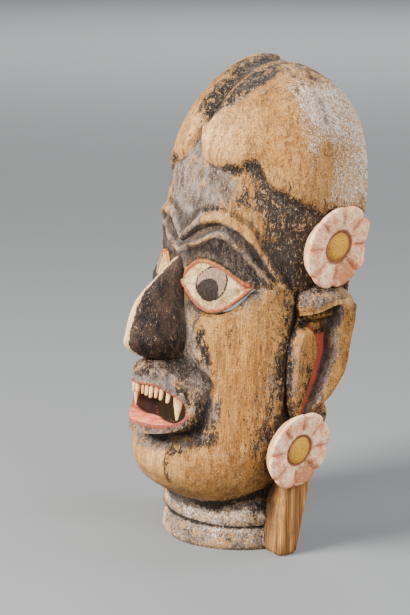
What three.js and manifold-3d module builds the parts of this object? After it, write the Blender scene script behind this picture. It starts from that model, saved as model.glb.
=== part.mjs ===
// Carved wooden dance mask that stands on its cut neck, leaning back, hollow and open behind.
// Units are millimetres. +Z is up, the face looks to -Y and the mask's own left side is +X.
// Carving is laid out in carving coordinates: x to the mask's left, y forward from the plane of
// its cut back, z up from the foot. place() stretches them to the named sizes and leans them back.

import * as THREE from "three";
import { mergeVertices } from "three/addons/utils/BufferGeometryUtils.js";
import Module from "manifold-3d";

// Whole object
const HEIGHT = 416; // foot to the crown of the hair
const FACE_WIDTH = 176; // across the cheeks, without ears
const FACE_DEPTH = 122; // cut back to the brow
const LEAN = 0.215; // how far each unit of height leans back
const WALL = 13; // thickness left when the inside was hollowed out
const FOOT_FLOOR = 16; // solid wood left under the hollow in the neck
const MAX_ERROR = 0.345; // how far a facet may stray from the laid-out surface

// Head
const CROWN = 414; // carving height of the crown before its two hair lobes
const DOME = 285; // height where the sides start to close over
const BACK_REACH = 85; // how far behind the cut the skull would have closed
const HAIR_RELIEF = 6;
const HAIR_PARTING = 9; // depth of the parting between the lobes of hair
const LOBE_STEP = 0.9; // share of the hair's relief that the left lobe lacks at the crown
const BROW_RELIEF = 4.6;
const LID_FOLD_RELIEF = 3.8;
const LID_RELIEF = 2.6;
const EYE_BULGE = 6.5;
const FOLD_DEPTH = 2.2; // groove round the muzzle
const CHEEK_GROOVE = 7; // groove between cheek and ear
const EAR_BED = 6; // how far the head is cut back under the hollow of the ear
const NECK_RING = 2.4;

// Nose and mouth
const NOSE_WIDTH = 44;
const NOSE_SHARE = 1; // reach of the nose against its laid-out profile
const LOWER_LIP_REACH = 26.5; // how far the lips stand out before the corners of the mouth
const UPPER_LIP_REACH = 33;
const MOUTH_HALF = 37.9; // middle of the opening to its corner
const LIPS_HALF = 41; // middle to where the lips run back into the cheek
const LIPS_ABOVE = 40; // height of the raised lips over the middle line of the mouth
const LIPS_BELOW = 19.5;
// Teeth from the middle outward: distance aside, width and length below the lip.
const TEETH = [[0, 5, 8.5], [6.1, 2.9, 9.5], [9.3, 3.5, 10.5], [12.8, 3.9, 12], [16.4, 3.8, 11],
  [19.8, 3.9, 11.3], [24.3, 4.2, 10.5]];
const FANG = [30, 9, 20.5];

// Slit to look through, below the outer half of each eye
const SLIT_HEIGHT = 3.4;

// Ears, rosettes and the boards that run down beside the neck
const EAR_FACE = 102; // sideways reach of the ear's rim
const ROSETTE_FACE = 99; // sideways reach of the rosettes
const UPPER_ROSETTE_RADIUS = 34;
const LOWER_ROSETTE_RADIUS = 31.5;
const ROSETTE_PETALS = 8;
const ROSETTE_CENTRE = 11.5; // radius of the stippled middle
const BOARD_FACE = 87; // sideways reach of the boards
const BOARD_INSET = 60; // where the boards start inside the neck

const DEGREE = Math.PI / 180;
const LAID_HEIGHT = 416;
const LAID_WIDTH = 176;
const LAID_DEPTH = 122;

const clamp = (value, low, high) => Math.min(high, Math.max(low, value));
const bell = (distance, spread) => Math.exp(-((distance / spread) ** 2));
const rise = (from, to, value) => {
  const t = clamp((value - from) / (to - from), 0, 1);
  return t * t * (3 - 2 * t);
};
const power = (value, exponent) => Math.sign(value) * Math.abs(value) ** exponent;

// A smooth curve through pairs [where, value] that never overshoots them.
function curve(pairs) {
  const last = pairs.length - 1;
  const slope = (i) => (pairs[i + 1][1] - pairs[i][1]) / (pairs[i + 1][0] - pairs[i][0]);
  const tangent = (i) => {
    if (i === 0) return slope(0);
    if (i === last) return slope(last - 1);
    const before = slope(i - 1);
    const after = slope(i);
    return before * after <= 0 ? 0 : (2 * before * after) / (before + after);
  };
  return (where) => {
    const at = clamp(where, pairs[0][0], pairs[last][0]);
    let i = 0;
    while (i < last - 1 && at > pairs[i + 1][0]) i += 1;
    const span = pairs[i + 1][0] - pairs[i][0];
    const t = (at - pairs[i][0]) / span;
    return (1 + 2 * t) * (1 - t) ** 2 * pairs[i][1]
      + t * (1 - t) ** 2 * span * tangent(i)
      + t * t * (3 - 2 * t) * pairs[i + 1][1]
      + t * t * (t - 1) * span * tangent(i + 1);
  };
}

// Plan of the head at each height: half width, forward reach, place of its widest line, fullness.
const halfWidth = curve([[0, 68.5], [32, 67.5], [40, 71], [50, 79], [60, 83], [74, 85], [88, 86],
  [102, 87], [125, 88], [225, 88], [262, 89], [285, 92]]);
const reach = curve([[0, 70], [32, 69], [40, 74], [50, 90], [60, 104], [74, 114], [88, 117],
  [102, 112], [125, 113], [160, 115], [190, 118], [225, 120], [262, 119], [285, 120]]);
const widest = curve([[0, 0], [40, 0], [50, 2], [60, 5], [74, 8], [88, 10], [102, 14],
  [125, 18], [160, 22], [190, 26], [225, 30], [262, 32], [285, 36]]);
const fullness = curve([[0, 2], [50, 2.1], [74, 2.1], [125, 2], [160, 1.95], [190, 1.9],
  [225, 1.85], [262, 1.8]]);

// Lines of the carving on the face, as height against degrees round from the middle.
const hairLine = curve([[0, 363], [3, 355], [7, 346], [13, 340], [22, 336], [31, 335], [41, 338],
  [52, 319], [68, 306], [80, 298], [95, 294], [120, 290]]);
const browLine = curve([[0, 272], [4, 275.5], [15.6, 288], [24.6, 290], [33, 285], [43.4, 273.6],
  [51, 259], [63.4, 238.4], [72, 227], [90, 220]]);
const lidFold = curve([[0, 259], [3, 261], [15, 267.4], [26.4, 276], [38, 265], [52.4, 244.6],
  [62, 231], [72, 219], [90, 212]]);
const eyeAxis = curve([[0, 236], [8, 234.6], [48, 232.8], [62, 220], [72, 211], [90, 204]]);
const muzzleFold = curve([[97, 28], [112, 29.4], [128, 32.4], [148, 32.1], [167, 21.9], [176, 17]]);

// Nose: forward reach of its ridge and half width, against height.
const noseRidge = curve([[160, 112], [165, 120], [171, 139], [177, 152], [183, 160.5], [188, 163.5],
  [196, 163], [205, 162], [215, 160], [227, 154], [236, 144], [245, 134], [252, 124.5], [259, 112]]);
const noseHalf = curve([[160, 0.45], [165, 0.78], [175, 0.96], [187, 1], [200, 0.9], [215, 0.72],
  [230, 0.52], [245, 0.4], [259, 0.34]]);

// Ear: its front and rear edge, the rear edge of its front band and the foot of its curled rim,
// against height.
const earFront = curve([[118, 36], [131, 42.5], [146, 47], [165, 50.5], [184, 53], [196, 50],
  [204, 47], [210, 47.5], [218, 51.5], [226, 52], [232, 48], [238, 39]]);
const earRear = curve([[118, 21], [128, 18.5], [135, 15], [143, 8.5], [158, 0], [176, -4.5],
  [195, -4], [209, 0], [222, 6], [230, 12], [238, 24]]);
const earBand = curve([[118, 32], [131, 31], [155, 27.3], [178, 25.5], [189, 30], [196, 33],
  [204, 36]]);
const earFold = curve([[118, 26.5], [128, 24.5], [136, 22], [154, 16.5], [177, 12], [198, 14.5],
  [210, 16], [226, 22], [238, 31]]);

// How full the dome is at each angle round: 2 closes like a circle, less is more pointed.
const domeFullness = curve([[0, 2.1], [22, 2.07], [45, 2], [65, 2.1], [85, 2.12], [105, 2.02],
  [130, 1.95]]);

// The closed skull, neck and jaw at an angle round, a height and a share of the way up the dome.
// inset draws everything inward, which gives the hollow.
function skull(angle, height, dome, inset) {
  const degrees = Math.abs(angle) / DEGREE;
  const low = Math.min(height, DOME);
  const jawRise = 21.6 * rise(20, 90, degrees) * (1 - rise(70, 130, low)) * rise(0, 34, low);
  const level = clamp(low - jawRise - inset * 0.7, 0, DOME);
  const shoulder = domeFullness(degrees);
  const closing = (1 - dome ** shoulder) ** (1 / shoulder);
  const middle = widest(low) + 16 * dome;
  const front = Math.cos(angle) >= 0;
  const exponent = 2 / (front ? fullness(low) : 3.2);
  const side = Math.abs(Math.sin(angle)) ** exponent;
  const ahead = Math.abs(Math.cos(angle)) ** exponent;
  const forward = (reach(level) - widest(low) - inset) * closing;
  return [
    (halfWidth(level) - inset) * closing * Math.sign(Math.sin(angle)) * side,
    middle + (front ? forward * ahead : -(BACK_REACH - inset) * closing * ahead),
  ];
}

// Half height of the eye's opening above or below its axis.
const EYE_FROM = 8;
const EYE_TO = 47;
const eyeHalf = (degrees, skew) =>
  19 * Math.sin(Math.PI * clamp((degrees - EYE_FROM) / (EYE_TO - EYE_FROM), 0, 1) ** skew);
const upperLid = (degrees) => eyeAxis(degrees) + Math.max(2.2, eyeHalf(degrees, 0.62));
const lowerLid = (degrees) => eyeAxis(degrees) - Math.max(2.2, eyeHalf(degrees, 1.1) * 1.05);

// How far a point lies outside the outline of the eye, in millimetres, negative inside it.
function outsideEye(degrees, z) {
  const axis = eyeAxis(degrees);
  if (degrees <= EYE_FROM) return Math.hypot(1.35 * (EYE_FROM - degrees), z - axis);
  if (degrees >= EYE_TO) return Math.hypot(1.35 * (degrees - EYE_TO), z - axis);
  const lid = z > axis ? upperLid : lowerLid;
  const slope = (lid(degrees + 0.5) - lid(degrees - 0.5)) / 1.35;
  return (Math.abs(z - axis) - Math.abs(lid(degrees) - axis)) / Math.hypot(1, slope);
}

// The mouth's opening: its half height above and below its middle line, against how far aside.
const MOUTH_LEVEL = 128;
const openAbove = curve([[0, 23.3], [12, 23.1], [17, 22], [22, 19.5], [26.5, 16], [31, 12.7],
  [34.5, 9.6], [36.7, 5.5], [MOUTH_HALF, 0]]);
const openBelow = curve([[0, 9], [20, 11], [27, 10.5], [33, 8.3], [36, 6], [37.4, 4],
  [MOUTH_HALF, 0]]);

// Distance outside the opening in millimetres, negative within it.
function outsideMouth(x, z) {
  const aside = Math.abs(x);
  const line = z > MOUTH_LEVEL ? openAbove(aside) : openBelow(aside);
  return Math.max((Math.abs(z - MOUTH_LEVEL) - line) * 0.9, aside - MOUTH_HALF);
}

// A rounded box about the raised lips: 1 on their outline, less inside.
const lipsTop = (aside) => LIPS_ABOVE - (12 * aside) / LIPS_HALF;
function outsideLips(x, z) {
  const aside = Math.abs(x);
  const half = z > MOUTH_LEVEL ? lipsTop(aside) : LIPS_BELOW;
  return ((aside / LIPS_HALF) ** 3 + (Math.abs(z - MOUTH_LEVEL) / half) ** 3) ** (1 / 3);
}

// Forward reach of the lips: bowed like a ship's stem, the upper lip further out.
const LIP_CORNER = 112;
const bow = (aside) => (Math.min(aside, LIPS_HALF - 2) ** 2 + 16) ** 0.75 - 8;
function lipFront(x, z) {
  const share = clamp((z - MOUTH_LEVEL + 7) / 29, 0, 1);
  const out = LOWER_LIP_REACH + (UPPER_LIP_REACH - LOWER_LIP_REACH) * share;
  return LIP_CORNER + (out - 4 * rise(160, 176, z)) * (1 - bow(Math.abs(x)) / bow(LIPS_HALF));
}

// Relief of the carving, measured outward, at an angle round and a height.
function relief(degrees, x, z, dome) {
  let out = 0;
  const overHair = rise(-7, 2, z - hairLine(degrees));
  const behind = 0.9 * rise(62, 98, degrees) * (x < 0 ? 1 - dome * dome : 1);
  const lower = LOBE_STEP * rise(378, 406, z) * rise(2, 18, x);
  out += HAIR_RELIEF * overHair * (1 - Math.max(behind, lower));
  const valley = bell(x, 4.5 + 4.5 * rise(350, 405, z));
  out -= HAIR_PARTING * valley * rise(-5, 6, z - hairLine(0));
  const browFade = 1 - rise(62, 72, degrees);
  const foldFade = 1 - rise(54, 62, degrees);
  out += BROW_RELIEF * bell(z - browLine(degrees), 4.6) * browFade;
  out -= 2.6 * bell(z - (browLine(degrees) + lidFold(degrees)) / 2, 3.4) * foldFade;
  out += LID_FOLD_RELIEF * bell(z - lidFold(degrees), 3.8) * foldFade;
  const eye = outsideEye(degrees, z);
  out += LID_RELIEF * bell(eye - 0.4, 2.3);
  out -= 2.4 * bell(eye - 6.5, 3.6) * (z > 228 ? 1 : 0.4);
  if (eye < 0) {
    const shut = 1 - clamp(-eye / 19, 0, 1);
    out += EYE_BULGE * (1 - shut * shut) - 1.2 * rise(0, 1.5, -eye);
  }
  const foldOff = (degrees - muzzleFold(z)) * 1.4;
  const foldHere = rise(92, 102, z) * (1 - rise(168, 178, z));
  out -= FOLD_DEPTH * bell(foldOff, 4.2) * foldHere;
  out += 0.9 * bell(foldOff - 8, 6) * foldHere;
  const grooveHere = rise(112, 128, z) * (1 - rise(222, 236, z));
  out -= CHEEK_GROOVE * bell((degrees - 75.5) * 1.25, 4.2) * grooveHere;
  out -= EAR_BED * rise(76, 81, degrees) * rise(120, 130, z) * (1 - rise(201, 207, z));
  out += 2.5 * bell(Math.hypot((degrees - 2) * 0.9, z - 80), 18);
  out += NECK_RING * 0.7 * bell(z - 29, 5) - NECK_RING * bell(z - 20, 2.6);
  out -= 3 * (1 - rise(0, 5, z)) ** 2;
  return out;
}

// Point of the carved outside, in carving coordinates.
function carved(angle, height, dome) {
  const degrees = Math.abs(angle) / DEGREE;
  const here = skull(angle, height, dome, 0);
  const step = 0.02;
  const before = skull(angle - step, height, dome, 0);
  const after = skull(angle + step, height, dome, 0);
  const along = Math.hypot(after[0] - before[0], after[1] - before[1]) || 1;
  const normal = [-(after[1] - before[1]) / along, (after[0] - before[0]) / along];
  const flat = Math.sqrt(Math.max(0, 1 - dome * dome));
  const out = relief(degrees, here[0], height, dome);
  const lips = outsideLips(here[0], height);
  const above = height > MOUTH_LEVEL;
  const fade = 0.13 + (above ? 0.1 * rise(8, 30, height - MOUTH_LEVEL) : 0);
  const onLips = Math.cos(angle) > 0.5 ? 1 - rise(0, 1, (lips - 1) / fade) : 0;
  const swell = Math.max(0, lipFront(here[0], height) - here[1]) * onLips;
  const rim = outsideMouth(here[0], height);
  const lipEdge = (0.9 * bell(rim - 1.2, 1.5) - (above ? 0.9 * bell(rim - 5.2, 1.8) : 0)) * onLips;
  return [
    here[0] + normal[0] * out * flat,
    here[1] + normal[1] * out * flat + swell + lipEdge,
    height + out * dome,
  ];
}

// Carving coordinates to the leaning, full-size object.
function place([x, y, z]) {
  const up = (z * HEIGHT) / LAID_HEIGHT;
  return [
    (x * FACE_WIDTH) / LAID_WIDTH,
    (-y * FACE_DEPTH) / LAID_DEPTH + LEAN * up,
    up,
  ];
}

const wasm = await Module();
wasm.setup();

const apart = (p, q) => Math.hypot(p[0] - q[0], p[1] - q[1], p[2] - q[2]);

// A closed solid from rings of points, fanned shut at both ends.
function loft(rings) {
  const count = rings[0].length;
  const points = rings.flat().map(place);
  const faces = [];
  for (let r = 0; r < rings.length - 1; r += 1) {
    for (let i = 0; i < count; i += 1) {
      const a = r * count + i;
      const b = r * count + ((i + 1) % count);
      const c = b + count;
      const d = a + count;
      // The shorter diagonal runs along a carved ridge instead of across it.
      if (apart(points[a], points[c]) <= apart(points[b], points[d])) {
        faces.push([a, b, c], [a, c, d]);
      } else {
        faces.push([a, b, d], [b, c, d]);
      }
    }
  }
  for (const end of [0, rings.length - 1]) {
    const middle = points.length;
    const ring = points.slice(end * count, end * count + count);
    points.push([0, 1, 2].map((k) => ring.reduce((sum, p) => sum + p[k], 0) / count));
    for (let i = 0; i < count; i += 1) {
      const a = end * count + i;
      const b = end * count + ((i + 1) % count);
      faces.push(end === 0 ? [b, a, middle] : [a, b, middle]);
    }
  }
  let volume = 0;
  for (const [a, b, c] of faces) {
    const [p, q, r] = [points[a], points[b], points[c]];
    volume += p[0] * (q[1] * r[2] - q[2] * r[1]) - p[1] * (q[0] * r[2] - q[2] * r[0])
      + p[2] * (q[0] * r[1] - q[1] * r[0]);
  }
  const turned = volume > 0 ? faces : faces.map(([a, b, c]) => [a, c, b]);
  return new wasm.Manifold(new wasm.Mesh({
    numProp: 3,
    vertProperties: new Float32Array(points.flat()),
    triVerts: new Uint32Array(turned.flat()),
  }));
}

const spread = (from, to, steps) =>
  Array.from({ length: steps + 1 }, (_, i) => from + ((to - from) * i) / steps);

// Angles round the head: close together over the face, wider behind it.
const faceSteps = [0, 2.2, 5, 8, 11, 14.5, 18, 21.5, 25, 28, 31, 34, 38, 42.5, 47, 51, 56, 62, 68,
  72.4, 75.5, 78.6, 84, 92, 101, 112, 140];
const round = [...faceSteps, 180, ...faceSteps.slice(1).reverse().map((a) => -a)];

// Lines across the face that its rings follow, as heights against the angle round, with the
// number of rings from each line up to the next.
const asideAt = (a) => (LAID_WIDTH / 2) * Math.sin(Math.min(a, 90) * DEGREE);
const cornered = (aside) => (1 - Math.min(1, aside / LIPS_HALF) ** 3) ** (1 / 3);
const lipLow = (a) => MOUTH_LEVEL - LIPS_BELOW * cornered(asideAt(a));
const lipHigh = (a) => MOUTH_LEVEL
  + lipsTop(Math.min(LIPS_HALF, asideAt(a))) * cornered(asideAt(a));
const sill = (a) => MOUTH_LEVEL - openBelow(asideAt(a));
const lintel = (a) => MOUTH_LEVEL + openAbove(asideAt(a));
const level = (height) => () => height;
const offset = (line, by) => (a) => line(a) + by;
// Beyond the corner of the mouth a line round the lips runs out to its own height.
const eased = (line, height) => (a) => line(a) + (height - line(a)) * rise(25, 34, a);
const guides = [
  ...[0, 2, 5, 12, 17, 20, 23, 29, 35, 39, 44, 50, 56, 63, 72, 82, 92].map((z) => [level(z), 1]),
  [level(99), 1], [eased(offset(lipLow, -5), 105), 1], [eased(offset(lipLow, -2.4), 109), 1],
  [eased(lipLow, 113), 1], [eased(offset(lipLow, 2), 117), 1], [eased(sill, 121), 2],
  [level(MOUTH_LEVEL), 3], [eased(lintel, 141), 1], [eased(offset(lintel, 2.5), 146), 1],
  [eased(offset(lintel, 6), 152), 1], [eased(lipHigh, 159), 1],
  [eased(offset(lipHigh, 5), 167), 1], [level(176), 1], [level(183), 1],
  [level(194), 1], [offset(lowerLid, -8), 1],
  [offset(lowerLid, -4), 1], [offset(lowerLid, -1), 1], [offset(lowerLid, 1.6), 3], [eyeAxis, 3],
  [offset(upperLid, -1.6), 1], [offset(upperLid, 1), 1], [offset(upperLid, 4), 1],
  [offset(lidFold, -4), 1], [lidFold, 1], [offset(lidFold, 3.5), 1], [offset(browLine, -4.5), 1],
  [browLine, 1], [offset(browLine, 4.5), 3], [offset(hairLine, -11), 1],
  [offset(hairLine, -7.5), 1], [offset(hairLine, -4.5), 1], [offset(hairLine, -1), 1],
  [offset(hairLine, 4), 2], [level(362), 1], [level(369), 1], [level(378), 1], [level(387), 1],
  [level(395), 1], [level(402), 1], [level(407.5), 1], [level(411.5), 1], [level(413.5), 1],
];

// Heights of every ring at one angle, kept a little apart where the lines run together.
function ringHeights(degrees) {
  const list = [];
  guides.forEach(([line, steps], i) => {
    const from = line(degrees);
    const to = i + 1 < guides.length ? guides[i + 1][0](degrees) : from;
    for (let k = 0; k < steps; k += 1) list.push(from + ((to - from) * k) / steps);
  });
  const floor = list.map((z) => z);
  for (let i = 1; i < floor.length; i += 1) floor[i] = Math.max(floor[i], floor[i - 1] + 0.9);
  let top = CROWN - 0.5;
  for (let i = floor.length - 1; i >= 0; i -= 1) {
    floor[i] = Math.min(floor[i], top);
    top = floor[i] - 0.9;
  }
  return floor;
}
const domeShare = (height) => clamp((height - DOME) / (CROWN - DOME), 0, 1);

// Upright grid lines beside the mouth bend to run along the fold round the muzzle.
function bentAngle(degrees, z) {
  const near = Math.max(0, 1 - Math.abs(Math.abs(degrees) - 31) / 22);
  const here = rise(84, 100, z) * (1 - rise(172, 196, z));
  return degrees + Math.sign(degrees) * (muzzleFold(z) - 31) * near * here;
}
const columns = round.map((degrees) => ringHeights(Math.abs(degrees)).map((z) =>
  carved(bentAngle(degrees, z) * DEGREE, z, domeShare(z))));
const outerRings = columns[0].map((_, ring) => columns.map((column) => column[ring]));
let mask = loft(outerRings);

// Nose: a narrow ridge with broad flat flanks, its tip hooked down.
const noseRings = [160, 163, 167, 171, 175, 179, 184, 188, 194, 203, 213, 223, 232, 240, 247, 253,
  258].map((z) => spread(-180, 162, 19).map((d) => {
  const s = Math.sin(d * DEGREE);
  const c = Math.cos(d * DEGREE);
  const half = (NOSE_WIDTH / 2) * noseHalf(z);
  const root = reach(z) - 12;
  const ahead = (noseRidge(z) - root) * NOSE_SHARE;
  return [half * power(s, 1.15), root + (c > 0 ? ahead * power(c, 1.3) : 6 * c), z];
}));
mask = mask.add(loft(noseRings));

// Ear: front band, tapering hollow and curled rim under an overhanging ledge. Sideways reach at a
// row's height and a place from front to rear.
const EAR_LEDGE = 208;
function earSurface(z, y) {
  const [front, rear, band, fold] = [earFront(z), earRear(z), earBand(z), earFold(z)];
  const floor = 86 - 4 * rise(150, 196, z);
  const bandHigh = 92 - 1.5 * rise(60, 30, front) - floor;
  const bandTop = 1 - rise(193, 199, z - 0.2 * (y - 44));
  const onBand = rise(0, 6, front - y) * rise(-2.5, 2.5, y - band) * bandTop;
  const rim = EAR_FACE - 4 - floor + 4 * clamp((fold - y) / 10, 0, 1);
  const lower = floor + bandHigh * onBand + rim * rise(-1.6, 1.6, fold - y);
  const share = (front - y) / (front - rear);
  const round = share < 0.52 ? 14 * (1 - share / 0.52) ** 3 : 3 * ((share - 0.52) / 0.48) ** 3;
  const upper = EAR_FACE - 1.5 - round - 14 * rise(217, 237, z) ** 2;
  const ledge = rise(EAR_LEDGE - 1.5, EAR_LEDGE + 1.5, z);
  return lower * (1 - ledge) + upper * ledge - 1.5 * rise(0.93, 1, share);
}
const earLift = (z, y) => 8 * rise(50, 20, y) * bell(z - EAR_LEDGE, 13);
const earRows = [118, 124, 131, 142, 155, 168, 180, 188, 193, 197, 201, 206.4, 209.6, 213, 219, 225,
  231, 235, 238];
function ear(side) {
  return loft(earRows.map((z) => {
    const [front, rear, band, fold] = [earFront(z), earRear(z), earBand(z), earFold(z)];
    const places = [front, front - 2.5, front - 6.5, (front + band) / 2, band + 2.6, band,
      band - 2.6, (band + fold) / 2, fold + 1.7, fold, fold - 1.7, (2 * fold + rear) / 3,
      (fold + 3 * rear) / 4, rear];
    const outer = places.map((y) => [side * earSurface(z, y), y, z + earLift(z, y)]);
    return [...outer, [side * 76, rear, z], [side * 76, (front + rear) / 2, z],
      [side * 76, front, z]];
  }));
}

// Rosette: faceted petals about a stippled middle, carved on the side of the head.
function rosette(side, y, z, radius) {
  const spokes = ROSETTE_PETALS * 2;
  const profile = [[0.84, -13], [0.94, -7], [1, -2.2], [0.94, 0],
    [ROSETTE_CENTRE / radius + 0.07, -2.2], [ROSETTE_CENTRE / radius, -3.4], [0.16, -1]];
  return loft(profile.map(([share, proud], ringIndex) => Array.from({ length: spokes }, (_, i) => {
    const turn = (i / spokes) * 2 * Math.PI;
    const gap = i % 2 === 0;
    const petal = gap && ringIndex >= 2 && ringIndex <= 3;
    const r = radius * share * (petal && ringIndex < 4 ? 0.955 : 1);
    return [side * (ROSETTE_FACE + proud - (petal ? 1.3 : 0)), y + r * Math.cos(turn),
      z + r * Math.sin(turn)];
  })));
}

// Board beside the neck, narrower at its foot.
function board(side) {
  const levels = [[0, 7, 22, -2], [3, 5.5, 24.5, 0], [30, 5, 28.5, 0], [58, 4.5, 31, 0],
    [90, 4.5, 34, 0]];
  return loft(levels.map(([z, rear, front, proud]) => [
    [side * (BOARD_FACE + proud - 1), rear, z],
    [side * (BOARD_FACE + proud), rear + 2, z],
    [side * (BOARD_FACE + proud), front - 3, z],
    [side * (BOARD_FACE + proud - 3), front, z],
    [side * BOARD_INSET, front - 2, z],
    [side * BOARD_INSET, rear, z],
  ]));
}

for (const side of [1, -1]) {
  mask = mask.add(board(side));
  mask = mask.add(ear(side));
  mask = mask.add(rosette(side, 28.5, 265.6, UPPER_ROSETTE_RADIUS));
  mask = mask.add(rosette(side, 32, 96, LOWER_ROSETTE_RADIUS));
}

// The flat cut of the back.
const behind = [-40, CROWN + 60].map((z) =>
  [[-160, -200, z], [160, -200, z], [160, 0, z], [-160, 0, z]]);
mask = mask.subtract(loft(behind));

// The hollow, open behind, with a floor left in the neck.
const hollowRound = spread(-180, 165, 23).map((a) => a * DEGREE);
const hollowTop = CROWN - WALL - DOME;
const hollowLevels = [...spread(FOOT_FLOOR, DOME, 15).map((z) => [z, 0]),
  ...[0.2, 0.4, 0.6, 0.75, 0.87, 0.95, 0.99].map((s) => [DOME + hollowTop * s, s])];
mask = mask.subtract(loft(hollowLevels.map(([z, s]) => hollowRound.map((a) =>
  [...skull(a, z, s, WALL), z]))));

// The mouth: cut right through, its floor level behind the lip and then falling into the hollow.
function mouthRing(y, drop, narrow) {
  return spread(0, 345, 23).map((d) => {
    const s = Math.sin(d * DEGREE);
    const aside = MOUTH_HALF * Math.abs(Math.cos(d * DEGREE)) ** (2 / 3);
    const tall = s > 0 ? openAbove(aside) : -openBelow(aside) - drop * Math.abs(s) ** 0.5;
    return [aside * Math.sign(Math.cos(d * DEGREE)) * narrow, y, MOUTH_LEVEL + tall];
  });
}
mask = mask.subtract(loft([mouthRing(165, 0, 1), mouthRing(118, 0, 1), mouthRing(113, 1, 0.98),
  mouthRing(100, 8, 0.9), mouthRing(70, 9, 0.88)]));

// The slits, following the lower lid from the middle of the eye to its outer corner.
function slit(side) {
  const rings = spread(31, 51, 8).map((d) => {
    const share = (d - 31) / 20;
    const along = (d - 8) / 40;
    const lid = 234.6 - 1.8 * along - 20 * Math.max(0, Math.sin(Math.PI * Math.min(1, along) ** 1.1));
    const middle = lid - 3.4 + 2.6 * rise(0.6, 1, share);
    const half = (SLIT_HEIGHT / 2) * Math.sqrt(Math.max(0.06, 1 - (2 * share - 1) ** 2));
    const [x, y] = skull(d * DEGREE, middle, 0, 0);
    return [[x, y, half], [x, y, -half]].flatMap(([px, py, h], end) => {
      const outer = [side * (px + 9), py + 14, middle + h];
      const inner = [side * (px - 16), py - 24, middle + h];
      return end === 0 ? [outer, inner] : [inner, outer];
    });
  });
  return loft(rings);
}
mask = mask.subtract(slit(1));
mask = mask.subtract(slit(-1));

// Teeth in a row behind the upper lip, with a fang at each corner.
function tooth(side, [aside, width, length], tipShare, outward, thick) {
  const step = 0.5;
  const slope = aside > 1 ? (lipFront(aside + step, MOUTH_LEVEL + 18)
    - lipFront(aside - step, MOUTH_LEVEL + 18)) / (2 * step) : 0;
  const unit = Math.hypot(1, slope);
  const along = [1 / unit, (side * slope) / unit];
  const root = MOUTH_LEVEL + openAbove(aside) + 3;
  const y = lipFront(aside, MOUTH_LEVEL + 22) - 1.6 - thick;
  return loft([[0, 1], [0.3, 1], [0.88, tipShare], [1, tipShare * 0.7]].map(([down, wide]) => {
    const half = (width / 2) * wide;
    const deep = thick * Math.min(1, wide * 1.2);
    const z = root - (length + 3) * down;
    return [[-half, -deep], [half, -deep], [half * 0.75, deep], [-half * 0.75, deep]].map(([p, q]) => {
      const u = p + side * outward * down;
      const v = q - 1.2 * down;
      return [side * aside + along[0] * u - along[1] * v, y + along[1] * u + along[0] * v, z];
    });
  }));
}
mask = mask.add(tooth(1, TEETH[0], 0.7, 0, 2));
for (const side of [1, -1]) {
  for (const sizes of TEETH.slice(1)) mask = mask.add(tooth(side, sizes, 0.7, 0, 2));
  mask = mask.add(tooth(side, FANG, 0.3, 1.6, 2.6));
}

// The drying crack that runs up the chin.
const crack = spread(66, 93, 4).map((z) => {
  const [x, y] = carved(14 * DEGREE, z, 0);
  const half = 0.3 + 0.9 * Math.sin(((z - 64) / 31) * Math.PI);
  return [[x - half, y + 6, z], [x + half + 1, y + 6, z], [x - 1, y - 4, z]];
});
mask = mask.subtract(loft(crack));

mask = mask.simplify(MAX_ERROR);

// Geometry centred over the foot.
const mesh = mask.getMesh();
const positions = new Float32Array((mesh.vertProperties.length / mesh.numProp) * 3);
for (let i = 0; i < positions.length / 3; i += 1) {
  for (let k = 0; k < 3; k += 1) {
    positions[i * 3 + k] = mesh.vertProperties[i * mesh.numProp + k];
  }
}
let geometry = new THREE.BufferGeometry();
geometry.setAttribute("position", new THREE.BufferAttribute(positions, 3));
geometry.setIndex(new THREE.BufferAttribute(new Uint32Array(mesh.triVerts), 1));
geometry = mergeVertices(geometry, 1e-5);
geometry.computeBoundingBox();
const box = geometry.boundingBox;
geometry.translate(-(box.min.x + box.max.x) / 2, -(box.min.y + box.max.y) / 2, -box.min.z);
geometry.computeVertexNormals();

const paintedWood = new THREE.MeshStandardMaterial({
  color: 0xb08a56,
  roughness: 0.72,
  metalness: 0,
});
const maskMesh = new THREE.Mesh(geometry, paintedWood);
maskMesh.name = "mask";

const group = new THREE.Group();
group.name = "dance_mask";
group.add(maskMesh);

export default group;
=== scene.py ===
import functools
import math

import bpy
import numpy as np
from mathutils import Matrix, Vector


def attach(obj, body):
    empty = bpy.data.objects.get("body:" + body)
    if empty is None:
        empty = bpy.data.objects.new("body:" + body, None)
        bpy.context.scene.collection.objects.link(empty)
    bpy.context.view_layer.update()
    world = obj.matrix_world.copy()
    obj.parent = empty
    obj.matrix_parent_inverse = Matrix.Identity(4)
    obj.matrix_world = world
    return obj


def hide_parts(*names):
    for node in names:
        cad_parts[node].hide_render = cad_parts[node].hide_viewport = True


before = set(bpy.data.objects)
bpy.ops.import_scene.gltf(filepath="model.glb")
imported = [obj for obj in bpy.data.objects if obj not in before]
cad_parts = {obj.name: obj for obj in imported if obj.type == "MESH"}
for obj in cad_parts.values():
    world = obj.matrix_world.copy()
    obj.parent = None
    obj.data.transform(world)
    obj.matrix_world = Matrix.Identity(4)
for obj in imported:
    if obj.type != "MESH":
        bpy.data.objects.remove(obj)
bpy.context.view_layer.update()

# The mask's laid-out sizes in millimetres, the same as its solid's.
LEAN = 0.215
WALL = 13.0
FOOT_FLOOR = 16.0
CROWN = 414.0
DOME = 285.0
BACK_REACH = 85.0
BACK_FULLNESS = 3.2
DOME_SHIFT = 16
JAW_SWEEP = 21.6
CHEEK_HALF = 88
HAIR_RELIEF = 6.0
HAIR_PARTING = 9.0
BROW_RELIEF = 4.6
LID_FOLD_RELIEF = 3.8
LID_RELIEF = 2.6
EYE_BULGE = 6.5
FOLD_DEPTH = 2.2
CHEEK_GROOVE = 7.0
GROOVE_ANGLE = 75.5
FOLD_ANGLE, FOLD_SPREAD = 31, 22
NECK_RING = 2.4
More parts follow.
